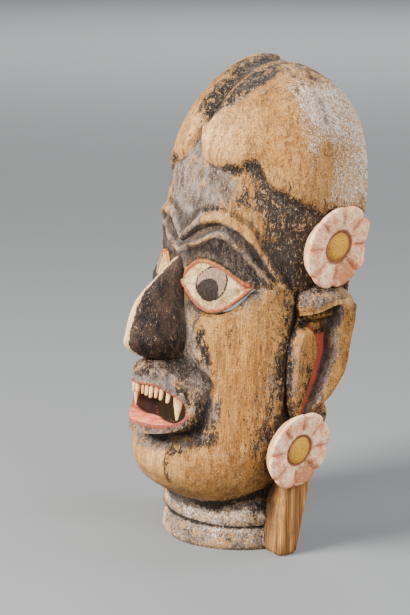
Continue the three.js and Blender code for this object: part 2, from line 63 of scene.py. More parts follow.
NECK_BEAD, NECK_GROOVE = 29, 20
NOSE_WIDTH = 44.0
MOUTH_HALF = 37.9
LIPS_HALF = 41.0
LIP_CORNER = 112.0
LOWER_LIP_REACH = 26.5
UPPER_LIP_REACH = 33.0
LIPS_ABOVE = 40.0
LIPS_BELOW = 19.5
LIPS_TAPER = 12.0
LIP_FOOT, LIP_TOP = 121, 150
BOW_HALF, BOW_ROUND = 39.0, 16
# Teeth, and the fang after them: how far aside, width and length.
TEETH = ((0.0, 5.0, 8.5), (6.1, 2.9, 9.5), (9.3, 3.5, 10.5), (12.8, 3.9, 12.0),
         (16.4, 3.8, 11.0), (19.8, 3.9, 11.3), (24.3, 4.2, 10.5))
FANG = (30.0, 9.0, 20.5)
# The slit and the crack: from and to in degrees round, and the crack's angle, foot and top.
SLIT_FROM, SLIT_TO = 31, 51
SLIT_HEIGHT = 3.4
CRACK_ANGLE, CRACK_FOOT, CRACK_TOP = 14.0, 64, 96
EAR_FACE = 102.0
EAR_ROOT = 76.0
EAR_BED = 6.0
EAR_LEDGE = 208.0
LOBE_STEP = 0.9
# Rosettes: their middle as seen from the side, and their radius.
ROSETTE_FACE = 99.0
UPPER_ROSETTE = (28.5, 265.6, 34.0)
LOWER_ROSETTE = (32.0, 96.0, 31.5)
ROSETTE_CENTRE = 11.5
BOARD_FACE = 87.0
BOARD_INSET = 60.0
MOUTH_LEVEL = 128.0
# The eye: from and to in degrees round, half its height, and how many millimetres a degree is
# there. The iris and the pupil: degrees round and height of their middles; what a degree and a
# millimetre of height count for in their round shapes.
EYE_FROM, EYE_TO = 8.0, 47.0
EYE_HALF_HEIGHT = 19
EYE_DEGREE = 1.35
IRIS, PUPIL = (27.2, 236.0), (26, 230.5)
IRIS_STRETCH = (1.62, 0.97)
# The lean of the wood's grain in the block, in radians, and how far it is drawn out upward.
GRAIN_LEAN = (-0.212, 0.0, 0.0)
COAT_LENGTH = (1.0, 1.0, 0.42)


# Camera and studio. Lights stand round the mask as the camera does.

def aim(thing, place, target):
    """Stands a camera or a light at place, looking at target."""
    thing.location = place
    turn = (Vector(target) - Vector(place)).to_track_quat("-Z", "Y")
    thing.rotation_euler = turn.to_euler()


def toward(azimuth, elevation):
    """The direction at an azimuth, counted from the face toward the mask's left, and an
    elevation, in degrees: (sin a cos e, -cos a cos e, sin e)."""
    a, e = math.radians(azimuth), math.radians(elevation)
    return Vector((math.sin(a) * math.cos(e), -math.cos(a) * math.cos(e), math.sin(e)))


def set_camera(azimuth=53.0, elevation=13.0, distance=1.477, target=(-0.02227, -0.00141, 0.199)):
    """Stands the camera in the photograph's view, distance metres from its target."""
    data = bpy.data.cameras.new("photo_camera")
    data.sensor_fit = "VERTICAL"
    data.sensor_height = 36.0
    data.lens = 98.34
    camera = bpy.data.objects.new("photo_camera", data)
    bpy.context.scene.collection.objects.link(camera)
    aim(camera, Vector(target) + toward(azimuth, elevation) * distance, target)
    bpy.context.scene.camera = camera


MASK_MIDDLE = Vector((0.0, 0.0, 0.2))


def soft_light(name, place, size, power, tint=(1.0, 1.0, 1.0), target=MASK_MIDDLE):
    """A square soft box of the given edge in metres, turned to the mask."""
    data = bpy.data.lights.new(name, "AREA")
    data.shape = "SQUARE"
    data.size = size
    data.energy = power
    data.color = tint
    light = bpy.data.objects.new(name, data)
    bpy.context.scene.collection.objects.link(light)
    aim(light, place, target)


set_camera()
soft_light("key", MASK_MIDDLE + toward(-12, 32) * 1.9, 0.8, 165, (1.0, 0.98, 0.94))
soft_light("fill", MASK_MIDDLE + toward(90, 30) * 2.2, 1.1, 54, (0.99, 0.99, 1.0))
soft_light("rim", MASK_MIDDLE + toward(150, 40) * 1.9, 0.9, 26, (0.96, 0.98, 1.0))
soft_light("backdrop", (-4.6, 4.0, 4.6), 5.0, 900, target=(-6.2, 5.2, 0.0))

world = bpy.data.worlds.new("studio_air")
bpy.context.scene.world = world
world.use_nodes = True
world.node_tree.nodes["Background"].inputs[0].default_value = (0.62, 0.64, 0.66, 1)
world.node_tree.nodes["Background"].inputs[1].default_value = 0.36


# Functions of numbers that the shapes are made of.

def rise(low, high, value):
    """A smooth step from 0 at low to 1 at high."""
    t = np.clip((np.asarray(value, float) - low) / (high - low), 0.0, 1.0)
    return t * t * (3.0 - 2.0 * t)


def bell(distance, spread):
    """A rounded hump: 1 at no distance, fading over the spread."""
    return np.exp(-np.square(np.asarray(distance, float) / spread))


def power(value, exponent):
    """A power that keeps the sign."""
    return np.sign(value) * np.abs(value) ** exponent


def curve(pairs):
    """A smooth line through pairs of place and value that never overshoots them: between two
    pairs a cubic, whose slope at each pair is the harmonic mean of the slopes beside it."""
    x, v = np.array(pairs, float).T
    slope = np.diff(v) / np.diff(x)
    tangent = np.concatenate([slope[:1], slope, slope[-1:]])
    before, after = tangent[:-1], tangent[1:]
    same = before * after > 0
    safe = np.where(same, before + after, 1.0)
    tangent = np.where(same, 2 * before * after / safe, 0.0)
    tangent[0], tangent[-1] = slope[0], slope[-1]

    def at(where):
        w = np.clip(np.asarray(where, float), x[0], x[-1])
        i = np.clip(np.searchsorted(x, w, side="left") - 1, 0, len(x) - 2)
        span = x[i + 1] - x[i]
        t = (w - x[i]) / span
        return ((1 + 2 * t) * (1 - t) ** 2 * v[i] + t * (1 - t) ** 2 * span * tangent[i]
                + t * t * (3 - 2 * t) * v[i + 1] + t * t * (t - 1) * span * tangent[i + 1])
    return at


def lattice(x, y, z, seed):
    """Repeatable random numbers from 0 to 1 at whole-number places: an integer hash."""
    n = (x * 374761393 + y * 668265263 + z * 1274126177 + seed * 974634777) & 0xFFFFFFFF
    n = ((n ^ (n >> 13)) * 1274126177) & 0xFFFFFFFF
    return ((n ^ (n >> 16)) & 0xFFFFFF) / float(0xFFFFFF)


def cloud(x, y, z, size, seed=0):
    """Smooth random relief from -1 to 1: lattice values size apart, blended by smooth steps."""
    px, py, pz = (np.asarray(c, float) / size for c in np.broadcast_arrays(x, y, z))
    ix, iy, iz = (np.floor(c).astype(np.int64) for c in (px, py, pz))
    fx, fy, fz = (c - i for c, i in ((px, ix), (py, iy), (pz, iz)))
    fx, fy, fz = (f * f * (3 - 2 * f) for f in (fx, fy, fz))
    total = np.zeros_like(px)
    for dx in (0, 1):
        for dy in (0, 1):
            for dz in (0, 1):
                weight = ((fx if dx else 1 - fx) * (fy if dy else 1 - fy)
                          * (fz if dz else 1 - fz))
                total += weight * lattice(ix + dx, iy + dy, iz + dz, seed)
    return total * 2.0 - 1.0


# Plan of the head at each height: half width, forward reach, place of its widest line, fullness.
half_width = curve([(0, 68.5), (32, 67.5), (40, 71), (50, 79), (60, 83), (74, 85), (88, 86),
                    (102, 87), (125, 88), (225, 88), (262, 89), (285, 92)])
reach = curve([(0, 70), (32, 69), (40, 74), (50, 90), (60, 104), (74, 114), (88, 117),
               (102, 112), (125, 113), (160, 115), (190, 118), (225, 120), (262, 119), (285, 120)])
widest = curve([(0, 0), (40, 0), (50, 2), (60, 5), (74, 8), (88, 10), (102, 14), (125, 18),
                (160, 22), (190, 26), (225, 30), (262, 32), (285, 36)])
fullness = curve([(0, 2), (50, 2.1), (74, 2.1), (125, 2), (160, 1.95), (190, 1.9),
                  (225, 1.85), (262, 1.8)])
dome_fullness = curve([(0, 2.1), (22, 2.07), (45, 2), (65, 2.1), (85, 2.12), (105, 2.02),
                       (130, 1.95)])

# Lines of the carving on the face, as height against degrees round from the middle.
hair_line = curve([(0, 363), (3, 355), (7, 346), (13, 340), (22, 336), (31, 335), (41, 338),
                   (52, 319), (68, 306), (80, 298), (95, 294), (120, 290)])
brow_line = curve([(0, 272), (4, 275.5), (15.6, 288), (24.6, 290), (33, 285), (43.4, 273.6),
                   (51, 259), (63.4, 238.4), (72, 227), (90, 220)])
lid_fold = curve([(0, 259), (3, 261), (15, 267.4), (26.4, 276), (38, 265), (52.4, 244.6),
                  (62, 231), (72, 219), (90, 212)])
eye_axis = curve([(0, 236), (8, 234.6), (48, 232.8), (62, 220), (72, 211), (90, 204)])
muzzle_fold = curve([(97, 28), (112, 29.4), (128, 32.4), (148, 32.1), (167, 21.9), (176, 17)])

# Nose: forward reach of its ridge and half width, against height.
nose_ridge = curve([(160, 112), (165, 120), (171, 139), (177, 152), (183, 160.5), (188, 163.5),
                    (196, 163), (205, 162), (215, 160), (227, 154), (236, 144), (245, 134),
                    (252, 124.5), (259, 112)])
nose_half = curve([(160, 0.45), (165, 0.78), (175, 0.96), (187, 1), (200, 0.9), (215, 0.72),
                   (230, 0.52), (245, 0.4), (259, 0.34)])

# Ear, seen from its side: front edge, rear edge of the front band, foot of the curled rim, and
# rear edge, against height.
ear_front = curve([(118, 36), (131, 42.5), (146, 47), (165, 50.5), (184, 53), (196, 50),
                   (204, 47), (210, 47.5), (218, 51.5), (226, 52), (232, 48), (238, 39)])
ear_band = curve([(118, 32), (131, 31), (155, 27.3), (178, 25.5), (189, 30), (196, 33), (204, 36)])
ear_fold = curve([(118, 26.5), (128, 24.5), (136, 22), (154, 16.5), (177, 12), (198, 14.5),
                  (210, 16), (226, 22), (238, 31)])
ear_rear = curve([(118, 21), (128, 18.5), (135, 15), (143, 8.5), (158, 0), (176, -4.5), (195, -4),
                  (209, 0), (222, 6), (230, 12), (238, 24)])


def skull(degrees, height, dome, inset):
    """The closed head without carving: superellipses in plan, whose half width and reach follow
    the height, closing over the dome as (1 - share^m)^(1/m). inset draws it inward."""
    a = np.radians(degrees)
    around = np.abs(degrees)
    low = np.minimum(height, DOME)
    jaw = JAW_SWEEP * rise(20, 90, around) * (1 - rise(70, 130, low)) * rise(0, 34, low)
    level = np.clip(low - jaw - inset * 0.7, 0, DOME)
    shoulder = dome_fullness(around)
    closing = (1 - np.clip(dome, 0, 1) ** shoulder) ** (1 / shoulder)
    front = np.cos(a) >= 0
    exponent = 2 / np.where(front, fullness(low), BACK_FULLNESS)
    side = np.abs(np.sin(a)) ** exponent
    ahead = np.abs(np.cos(a)) ** exponent
    forward = (reach(level) - widest(low) - inset) * closing
    x = (half_width(level) - inset) * closing * np.sign(np.sin(a)) * side
    deep = np.where(front, forward * ahead, -(BACK_REACH - inset) * closing * ahead)
    return x, widest(low) + DOME_SHIFT * dome + deep


def eye_half(degrees, skew):
    """Half height of the eye: a sine arch skewed toward the nose."""
    share = np.clip((degrees - EYE_FROM) / (EYE_TO - EYE_FROM), 0, 1)
    return EYE_HALF_HEIGHT * np.sin(np.pi * share ** skew)


def upper_lid(degrees):
    """Height of the upper lid's edge."""
    return eye_axis(degrees) + np.maximum(2.2, eye_half(degrees, 0.62))


def lower_lid(degrees):
    """Height of the lower lid's edge."""
    return eye_axis(degrees) - np.maximum(2.2, eye_half(degrees, 1.1) * 1.05)


def outside_eye(degrees, z):
    """Distance outside the eye's outline in millimetres, negative within it."""
    axis = eye_axis(degrees)
    above = z > axis
    here = np.where(above, upper_lid(degrees), lower_lid(degrees))
    ahead = np.where(above, upper_lid(degrees + 0.5), lower_lid(degrees + 0.5))
    behind = np.where(above, upper_lid(degrees - 0.5), lower_lid(degrees - 0.5))
    slope = (ahead - behind) / EYE_DEGREE
    off = (np.abs(z - axis) - np.abs(here - axis)) / np.hypot(1, slope)
    off = np.where(degrees <= EYE_FROM, np.hypot(EYE_DEGREE * (EYE_FROM - degrees), z - axis), off)
    return np.where(degrees >= EYE_TO, np.hypot(EYE_DEGREE * (degrees - EYE_TO), z - axis), off)


# The mouth's opening: its half height above and below the middle line, against how far aside.
open_above = curve([(0, 23.3), (12, 23.1), (17, 22), (22, 19.5), (26.5, 16), (31, 12.7),
                    (34.5, 9.6), (36.7, 5.5), (37.9, 0)])
open_below = curve([(0, 9), (20, 11), (27, 10.5), (33, 8.3), (36, 6), (37.4, 4), (37.9, 0)])


def outside_mouth(x, z):
    """Distance outside the mouth's opening in millimetres, negative within it."""
    aside = np.abs(x)
    line = np.where(z > MOUTH_LEVEL, open_above(aside), open_below(aside))
    off = (np.abs(z - MOUTH_LEVEL) - line) * 0.9
    return np.maximum(off, aside - MOUTH_HALF)


def outside_lips(x, z):
    """A rounded box about the raised lips: 1 on their outline, less inside."""
    aside = np.abs(x)
    half = np.where(z > MOUTH_LEVEL, LIPS_ABOVE - LIPS_TAPER * aside / LIPS_HALF, LIPS_BELOW)
    return ((aside / LIPS_HALF) ** 3 + (np.abs(z - MOUTH_LEVEL) / half) ** 3) ** (1 / 3)


def lip_front(x, z):
    """Forward reach of the lips: bowed like a ship's stem, the upper lip further out."""
    bow = (np.minimum(np.abs(x), BOW_HALF) ** 2 + BOW_ROUND) ** 0.75
    stem = BOW_ROUND ** 0.75
    bow = 1 - (bow - stem) / ((BOW_HALF ** 2 + BOW_ROUND) ** 0.75 - stem)
    up = np.clip((z - LIP_FOOT) / (LIP_TOP - LIP_FOOT), 0, 1)
    out = LOWER_LIP_REACH + (UPPER_LIP_REACH - LOWER_LIP_REACH) * up
    return LIP_CORNER + (out - 4 * rise(160, 176, z)) * bow


def relief(degrees, x, z, dome):
    """Carving on the head, measured outward in millimetres: hair lobes over the hairline, brow,
    lid fold and lids as humps along their lines, a bulging eyeball, grooves round the muzzle,
    before the ear and round the neck."""
    over = z - hair_line(degrees)
    behind = 0.9 * rise(62, 98, degrees) * np.where(x < 0, 1 - dome ** 2, 1)
    lower = LOBE_STEP * rise(378, 406, z) * rise(2, 18, x)
    out = HAIR_RELIEF * rise(-7, 2, over) * (1 - np.maximum(behind, lower))
    valley = bell(x, 4.5 + 4.5 * rise(350, 405, z))
    out -= HAIR_PARTING * valley * rise(-5, 6, z - hair_line(0))
    brow_fade = 1 - rise(62, 72, degrees)
    fold_fade = 1 - rise(54, 62, degrees)
    uneven = 1.3 * cloud(x, 0 * x, z, 13, 11) + 0.7 * cloud(x, 0 * x, z, 6, 12)
    brow = bell(z + uneven - brow_line(degrees), 5.4)
    out += (BROW_RELIEF - 0.3 + 0.6 * uneven) * brow * brow_fade
    out -= 2.6 * bell(z - (brow_line(degrees) + lid_fold(degrees)) / 2, 3.4) * fold_fade
    out += (LID_FOLD_RELIEF + 0.6 * uneven) * bell(z - uneven - lid_fold(degrees), 4.2) * fold_fade
    eye = outside_eye(degrees, z)
    out += LID_RELIEF * bell(eye - 0.4, 2.3)
    out -= 2.4 * bell(eye - 6.5, 3.6) * np.where(z > 228, 1, 0.4)
    shut = 1 - np.clip(-eye / EYE_HALF_HEIGHT, 0, 1)
    out += np.where(eye < 0, EYE_BULGE * (1 - shut * shut) - 1.2 * rise(0, 1.5, -eye), 0)
    off = (degrees - muzzle_fold(z)) * 1.4
    here = rise(92, 102, z) * (1 - rise(168, 178, z))
    out -= FOLD_DEPTH * bell(off, 4.2) * here
    out += 0.9 * bell(off - 8, 6) * here
    groove = rise(112, 128, z) * (1 - rise(222, 236, z))
    out -= CHEEK_GROOVE * bell((degrees - GROOVE_ANGLE) * 1.25, 4.2) * groove
    out -= EAR_BED * rise(76, 81, degrees) * rise(120, 130, z) * (1 - rise(201, 207, z))
    out += 2.5 * bell(np.hypot((degrees - 2) * 0.9, z - 80), 18)
    out += NECK_RING * 0.7 * bell(z - NECK_BEAD, 5) - NECK_RING * bell(z - NECK_GROOVE, 2.6)
    return out - 3 * (1 - rise(0, 5, z)) ** 2


def wear(x, y, z):
    """The knife's and time's own unevenness: broad waves, ridged strokes drawn out upward in
    patches, and fine dents."""
    broad = 0.6 * cloud(x, y, z, 24, 3) + 0.4 * cloud(x, y, z * 0.5, 9, 5)
    patches = rise(-0.3, 0.6, cloud(x, y, z, 30, 10))
    strokes = 0.3 * (1 - np.abs(cloud(x, y, z * 0.4, 6.5, 9))) * patches
    return broad + strokes + 0.2 * cloud(x, y, z * 0.4, 3.0, 8)


def carved(degrees, height, dome):
    """Point of the carved outside in carving millimetres: the head moved along its level normal
    by the relief, with the muzzle's swell and the lips' edge forward."""
    around = np.abs(degrees)
    x, y = skull(degrees, height, dome, 0)
    step = 1.2
    x0, y0 = skull(degrees - step, height, dome, 0)
    x1, y1 = skull(degrees + step, height, dome, 0)
    along = np.hypot(x1 - x0, y1 - y0)
    along = np.where(along == 0, 1, along)
    nx, ny = -(y1 - y0) / along, (x1 - x0) / along
    flat = np.sqrt(np.clip(1 - dome * dome, 0, 1))
    out = relief(around, x, height, dome) + wear(x, y, height)
    lips = outside_lips(x, height)
    reaches = 0.13 + np.where(height > MOUTH_LEVEL, 0.1 * rise(8, 30, height - MOUTH_LEVEL), 0)
    on_lips = 1 - rise(0, 1, (lips - 1) / reaches)
    front = np.cos(np.radians(degrees)) > 0.5
    swell = np.where(front, np.maximum(0, lip_front(x, height) - y) * on_lips, 0)
    rim = outside_mouth(x, height)
    edge = np.where(front, (0.9 * bell(rim - 1.2, 1.5) - 0.9 * bell(rim - 5.2, 1.8)
                            * (height > MOUTH_LEVEL)) * on_lips, 0)
    return x + nx * out * flat, y + ny * out * flat + swell + edge, height + out * dome


# Meshes from points, and their joining and cutting.

def place(x, y, z):
    """Carving millimetres to the leaning mask in metres, face to -Y."""
    return np.stack(np.broadcast_arrays(x, -y + LEAN * z, z), -1) / 1000.0


def numbers(data, key, per=1, kind=np.float32):
    """What a mesh's parts hold under a key, as one array, with per numbers to a part."""
    values = np.zeros(len(data) * per, kind)
    data.foreach_get(key, values)
    return values


def keep(mesh, key, values):
    """Stores one number per point in the mesh, for the paint to follow."""
    store = mesh.attributes.new(key, "FLOAT", "POINT")
    store.data.foreach_set("value", values.astype(np.float32))


def surface(name, points, material, masks=None):
    """A closed solid from rings of points (rings, around, 3), fanned shut at both ends. Each
    four-sided cell is split along its shorter diagonal. masks are values per point that paint
    follows, and every point gets known = 1, so that points a cut makes later can be told."""
    rings, count = points.shape[:2]
    flat = points.reshape(-1, 3)
    index = np.arange(rings * count).reshape(rings, count)
    a = index[:-1]
    b = np.roll(index, -1, 1)[:-1]
    c = np.roll(index, -1, 1)[1:]
    d = index[1:]
    a, b, c, d = (q.ravel() for q in (a, b, c, d))
    first = (np.linalg.norm(flat[a] - flat[c], axis=1)
             <= np.linalg.norm(flat[b] - flat[d], axis=1))[:, None]
    one = np.where(first, np.stack([a, b, c], 1), np.stack([a, b, d], 1))
    two = np.where(first, np.stack([a, c, d], 1), np.stack([b, c, d], 1))
    verts = np.concatenate([flat, points[[0, -1]].mean(1)])
    low, high = index[0], index[-1]
    foot = np.stack([np.roll(low, -1), low, np.full(count, len(flat))], 1)
    top = np.stack([high, np.roll(high, -1), np.full(count, len(flat) + 1)], 1)
    faces = np.concatenate([one, two, foot, top])
    p, q, r = (verts[faces[:, k]] for k in range(3))
    if np.einsum("ij,ij->i", p, np.cross(q, r)).sum() < 0:
        faces = faces[:, ::-1]
    mesh = bpy.data.meshes.new(name)
    mesh.vertices.add(len(verts))
    mesh.vertices.foreach_set("co", verts.astype(np.float32).ravel())
    mesh.loops.add(len(faces) * 3)
    mesh.loops.foreach_set("vertex_index", faces.astype(np.int32).ravel())
    mesh.polygons.add(len(faces))
    mesh.polygons.foreach_set("loop_start", np.arange(0, len(faces) * 3, 3, dtype=np.int32))
    mesh.update(calc_edges=True)
    mesh.validate()
    for key, value in {"known": 1.0, **(masks or {})}.items():
        grid = np.array(np.broadcast_to(value, (rings, count)), float)
        keep(mesh, key, np.concatenate([grid.ravel(), grid[[0, -1]].mean(1)]))
    mesh.materials.append(material)
    piece = bpy.data.objects.new(name, mesh)
    bpy.context.scene.collection.objects.link(piece)
    return piece


def combine(base, tool, operation):
    """base with tool joined to it or cut from it, tool used up."""
    cut = base.modifiers.new("cut", "BOOLEAN")
    cut.object = tool
    cut.operation = operation
    cut.solver = "MANIFOLD"
    cut.material_mode = "TRANSFER"
    graph = bpy.context.evaluated_depsgraph_get()
    result = bpy.data.meshes.new_from_object(base.evaluated_get(graph))
    base.modifiers.clear()
    old, used = base.data, tool.data
    base.data = result
    bpy.data.meshes.remove(old)
    bpy.data.objects.remove(tool)
    bpy.data.meshes.remove(used)


def spaced(line_from, line_to, count):
    """Lines evenly spaced from one to the next, count of them, without the last."""
    return [line_from + (line_to - line_from) * k / count for k in range(count)]


# Shapes of the mask.

def head_grid():
    """Angles and heights of the head's fine grid. Rings follow the carved lines, so that ridges
    and lids lie along the mesh; columns bend along the fold round the muzzle."""
    side = np.concatenate([np.arange(0, 84, 0.88), np.arange(84, 118, 3.0), [124, 140]])
    degrees = np.concatenate([side, [180], -side[:0:-1]])
    around = np.abs(degrees)
    aside = CHEEK_HALF * np.sin(np.radians(np.minimum(around, 90)))
    share = np.minimum(1, aside / LIPS_HALF)
    low = MOUTH_LEVEL - LIPS_BELOW * (1 - share ** 3) ** (1 / 3)
    high = MOUTH_LEVEL + (LIPS_ABOVE - LIPS_TAPER * share) * (1 - share ** 3) ** (1 / 3)
    sill, lintel = MOUTH_LEVEL - open_below(aside), MOUTH_LEVEL + open_above(aside)

    def eased(line, height):
        """A line round the mouth that becomes level beyond it."""
        return line + (height - line) * rise(25, 34, around)

    under, axis, over = lower_lid(around), eye_axis(around), upper_lid(around)
    fold, brow, hair = lid_fold(around), brow_line(around), hair_line(around)
    guides = [(0, 2), (3, 3), (12, 4), (17, 5), (23, 6), (35, 6), (44, 8), (56, 9), (72, 12),
              (92, 7), (eased(low - 5, 105), 4), (eased(low - 2.4, 109), 3),
              (eased(low, 113), 3), (eased(low + 2, 117), 5), (eased(sill, 121), 9),
              (MOUTH_LEVEL, 12), (eased(lintel, 141), 3), (eased(lintel + 2.5, 146), 4),
              (eased(lintel + 6, 152), 8), (eased(high, 159), 6), (eased(high + 5, 167), 3),
              (176, 5), (183, 6), (194, 5), (under - 8, 4), (under - 4, 3), (under - 1, 3),
              (under + 1.6, 11), (axis, 11), (over - 1.6, 3), (over + 1, 3), (over + 4, 3),
              (fold - 4, 4), (fold, 4), (fold + 3.5, 3), (brow - 4.5, 4), (brow, 4),
              (brow + 4.5, 20), (hair - 11, 3), (hair - 7.5, 3), (hair - 4.5, 3), (hair - 1, 4),
              (hair + 4, 9), (362, 6), (369, 7), (378, 7), (387, 7), (395, 7), (402, 7),
              (407.5, 7), (411.5, 5), (413.4, 1)]
    guides = [(line * np.ones_like(around), count) for line, count in guides]
    rows = []
    for (line, count), (following, _) in zip(guides, guides[1:]):
        rows += spaced(line, following, count)
    z = np.array(rows + [guides[-1][0]])
    least = 0.32
    for i in range(1, len(z)):
        z[i] = np.maximum(z[i], z[i - 1] + least)
    top = CROWN - 0.4
    for i in range(len(z) - 1, -1, -1):
        z[i] = np.minimum(z[i], top)
        top = z[i] - least * 0.5
    near = np.maximum(0, 1 - np.abs(around - FOLD_ANGLE) / FOLD_SPREAD)[None, :]
    here = rise(84, 100, z) * (1 - rise(172, 196, z))
    moved = np.sign(degrees)[None, :] * (muzzle_fold(z) - FOLD_ANGLE) * near * here
    bent = degrees[None, :] + moved
    return bent, z


def head(material):
    """The carved head, neck and hair as one closed loft."""
    degrees, z = head_grid()
    dome = np.clip((z - DOME) / (CROWN - DOME), 0, 1)
    x, y, up = carved(degrees, z, dome)
    return surface("carved_mask", place(x, y, up), material, face_paint(degrees, x, y, z))


def nose(material):
    """A narrow ridge with broad flat flanks, hooked down at its tip: level rings, half as wide as
    nose_half, reaching forward to nose_ridge."""
    z = np.concatenate([np.arange(160, 190, 1.2), np.arange(190, 258.5, 1.7)])[:, None]
    turn = np.radians(np.arange(-180, 180, 5.0))[None, :]
    s, c = np.sin(turn), np.cos(turn)
    root = reach(z) - 12
    ahead = nose_ridge(z) - root
    x = NOSE_WIDTH / 2 * nose_half(z) * power(s, 1.15)
    y = root + np.where(c > 0, ahead * power(np.maximum(c, 0), 1.3), 6 * c)
    x, y, z = np.broadcast_arrays(x, y, z)
    bump = 0.4 * cloud(x, y, z, 11, 21) + 0.25 * cloud(x, y, z, 5, 22)
    rubbed = rise(0.972, 0.996, c) * rise(164, 178, z) * (1 - 0.5 * rise(222, 240, z))
    return surface("nose", place(x + np.sign(x) * bump * (np.abs(x) > 1), y + bump, z), material,
                   {"rubbed": rubbed})


def ear_face(z, y):
    """How far the ear stands out to the side: a front band that ends in a rounded head, a hollow
    behind it, a steep wall up to the curled rim, and over them the brow of the ear, which hangs
    over the hollow from EAR_LEDGE up."""
    front, band, fold, rear = ear_front(z), ear_band(z), ear_fold(z), ear_rear(z)
    floor = 86 - 4 * rise(150, 196, z)
    band_high = 92 - 1.5 * rise(60, 30, front) - floor
    band_top = 1 - rise(193, 199, z - 0.2 * (y - 44))
    on_band = rise(0, 6, front - y) * rise(-2.5, 2.5, y - band) * band_top
    rim = EAR_FACE - 4 - floor + 4 * np.clip((fold - y) / 10, 0, 1)
    rim = rim * (1 - 0.5 * rise(138, 124, z))
    lower = floor + band_high * on_band + rim * rise(-1.6, 1.6, fold - y)
    share = (front - y) / (front - rear)
    rounded = np.where(share < 0.52, 14 * (1 - share / 0.52) ** 3,
                       3 * ((share - 0.52) / 0.48) ** 3)
    upper = EAR_FACE - 1.5 - rounded - 14 * rise(217, 237, z) ** 2
    ledge = rise(EAR_LEDGE - 1.5, EAR_LEDGE + 1.5, z)
    return lower * (1 - ledge) + upper * ledge - 1.5 * rise(0.93, 1, share)


def ear(side, material):
    """The long ear as level rows: its columns follow the band's rear edge and the rim's foot."""
    z = np.concatenate([np.arange(118, 192, 2.0), np.arange(192, 214, 0.8),
                        np.arange(214, 238.5, 1.4)])[:, None]
    front, band, fold, rear = ear_front(z), ear_band(z), ear_fold(z), ear_rear(z)
    lines = [(front, 7), (front - 6.5, 7), (band + 2.6, 5), (band - 2.6, 6), (fold + 1.7, 7),
             (fold - 1.7, 9), (rear, 0)]
    y = []
    for (line, count), (following, _) in zip(lines, lines[1:]):
        y += spaced(line, following, count)
    y = np.concatenate(y + [rear], 1)
    x = ear_face(z, y)
    up = z + 8 * rise(50, 20, y) * bell(z - EAR_LEDGE, 13)
    x = x + 0.3 * cloud(x, y, up, 8, 31) + 0.2 * cloud(x, y, up * 0.5, 3.5, 33)
    masks = ear_paint(y, z + 0 * y, x)
    inner = [rear, (front + rear) / 2, front]
    x = np.concatenate([x] + [0 * z + EAR_ROOT] * 3, 1) * side
    y = np.concatenate([y] + inner, 1)
    up = np.concatenate([up, z, z, z], 1)
    masks = {key: np.concatenate([value] + [0 * z] * 3, 1) for key, value in masks.items()}
    return surface("ear", place(x, y, up), material, masks)


def rosette(side, y0, z0, radius, material):
    """A flower: rings from the wood out to the rim and in to the middle, each a share of the
    radius and so far proud of the face. Eight petals, |sin 4t| round the turn, slope inward, each
    with a tilt of its own."""
    turn = np.radians(np.arange(0, 360, 3.0))[None, :]
    middle = ROSETTE_CENTRE / radius
    share = np.array([0.84, 0.88, 0.94, 0.985, 1.0, 1.0, 0.985, 0.955, 0.9, 0.82, 0.74, 0.66,
                      0.58, 0.5, 0.45, middle + 0.045, middle + 0.01, middle - 0.03, 0.26, 0.2,
                      0.12, 0.05])[:, None]
    proud = np.array([-13, -10, -7, -4, -2.6, -1.6, -0.7, -0.2, 0, -0.2, -0.5, -0.8, -1.2, -1.7,
                      -2.1, -2.8, -3.6, -2.6, -1.5, -1.1, -0.9, -0.8])[:, None]
    petal = np.abs(np.sin(4 * turn))
    outer = rise(0.42, 0.6, share) * (proud > -6)
    r = radius * share * (1 - 0.06 * (1 - petal) ** 2 * (share > 0.9))
    which = np.round(turn / (np.pi / 4)).astype(np.int64) % 8
    tilt = lattice(which, 0 * which, 0 * which, int(z0)) - 0.5
    lift = proud - 1.9 * (1 - petal) ** 3 * outer + 1.5 * tilt * outer * (proud > -3)
    y = y0 + r * np.cos(turn)
    z = z0 + r * np.sin(turn)
    x = ROSETTE_FACE + lift + 0.3 * cloud(r, y, z, 6, 41) + 0.2 * cloud(r, y, z, 2.6, 42)
    x, y, z = np.broadcast_arrays(x * side, y, z)
    broken = 0.95 * bell(np.hypot(y - y0 + radius * 0.36, z - z0 + radius * 0.62), radius * 0.42)
    return surface("rosette", place(x, y, z), material, {
        "share": share, "petal": petal * outer + (1 - outer), "side": rise(-2, -6, proud),
        "worn": np.maximum(broken, 0.16)})


def board(side, material):
    """The board beside the neck, narrower at its foot, with softened edges."""
    z = np.array([0, 1.2, 3, 12, 21, 30, 44, 58, 74, 90.0])
    rear = np.interp(z, [0, 3, 30, 58, 90], [7, 5.5, 5, 4.5, 4.5])
    front = np.interp(z, [0, 3, 30, 58, 90], [22, 24.5, 28.5, 31, 34])
    face = BOARD_FACE + np.interp(z, [0, 3], [-2, 0])
    rows = []
    for k in range(len(z)):
        x = np.array([face[k] - 1.4, face[k] - 0.3, face[k], face[k], face[k] - 0.6, face[k] - 3,
                      BOARD_INSET, BOARD_INSET])
        y = np.array([rear[k], rear[k] + 0.6, rear[k] + 2, front[k] - 3, front[k] - 1.4,
                      front[k] - 0.2, front[k] - 2, rear[k]])
        rows.append(place(x * side, y, np.full(8, z[k])))
    return surface("board", np.array(rows), material)


def back_cut(material):
    """A block behind the mask whose front is the flat cut of its back."""
    z = np.array([-40, CROWN + 60])[:, None]
    x, y = np.array([[-160.0, 160, 160, -160]]), np.array([[-200.0, -200, 0, 0]])
    return surface("back_cut", place(x, y, z), material)


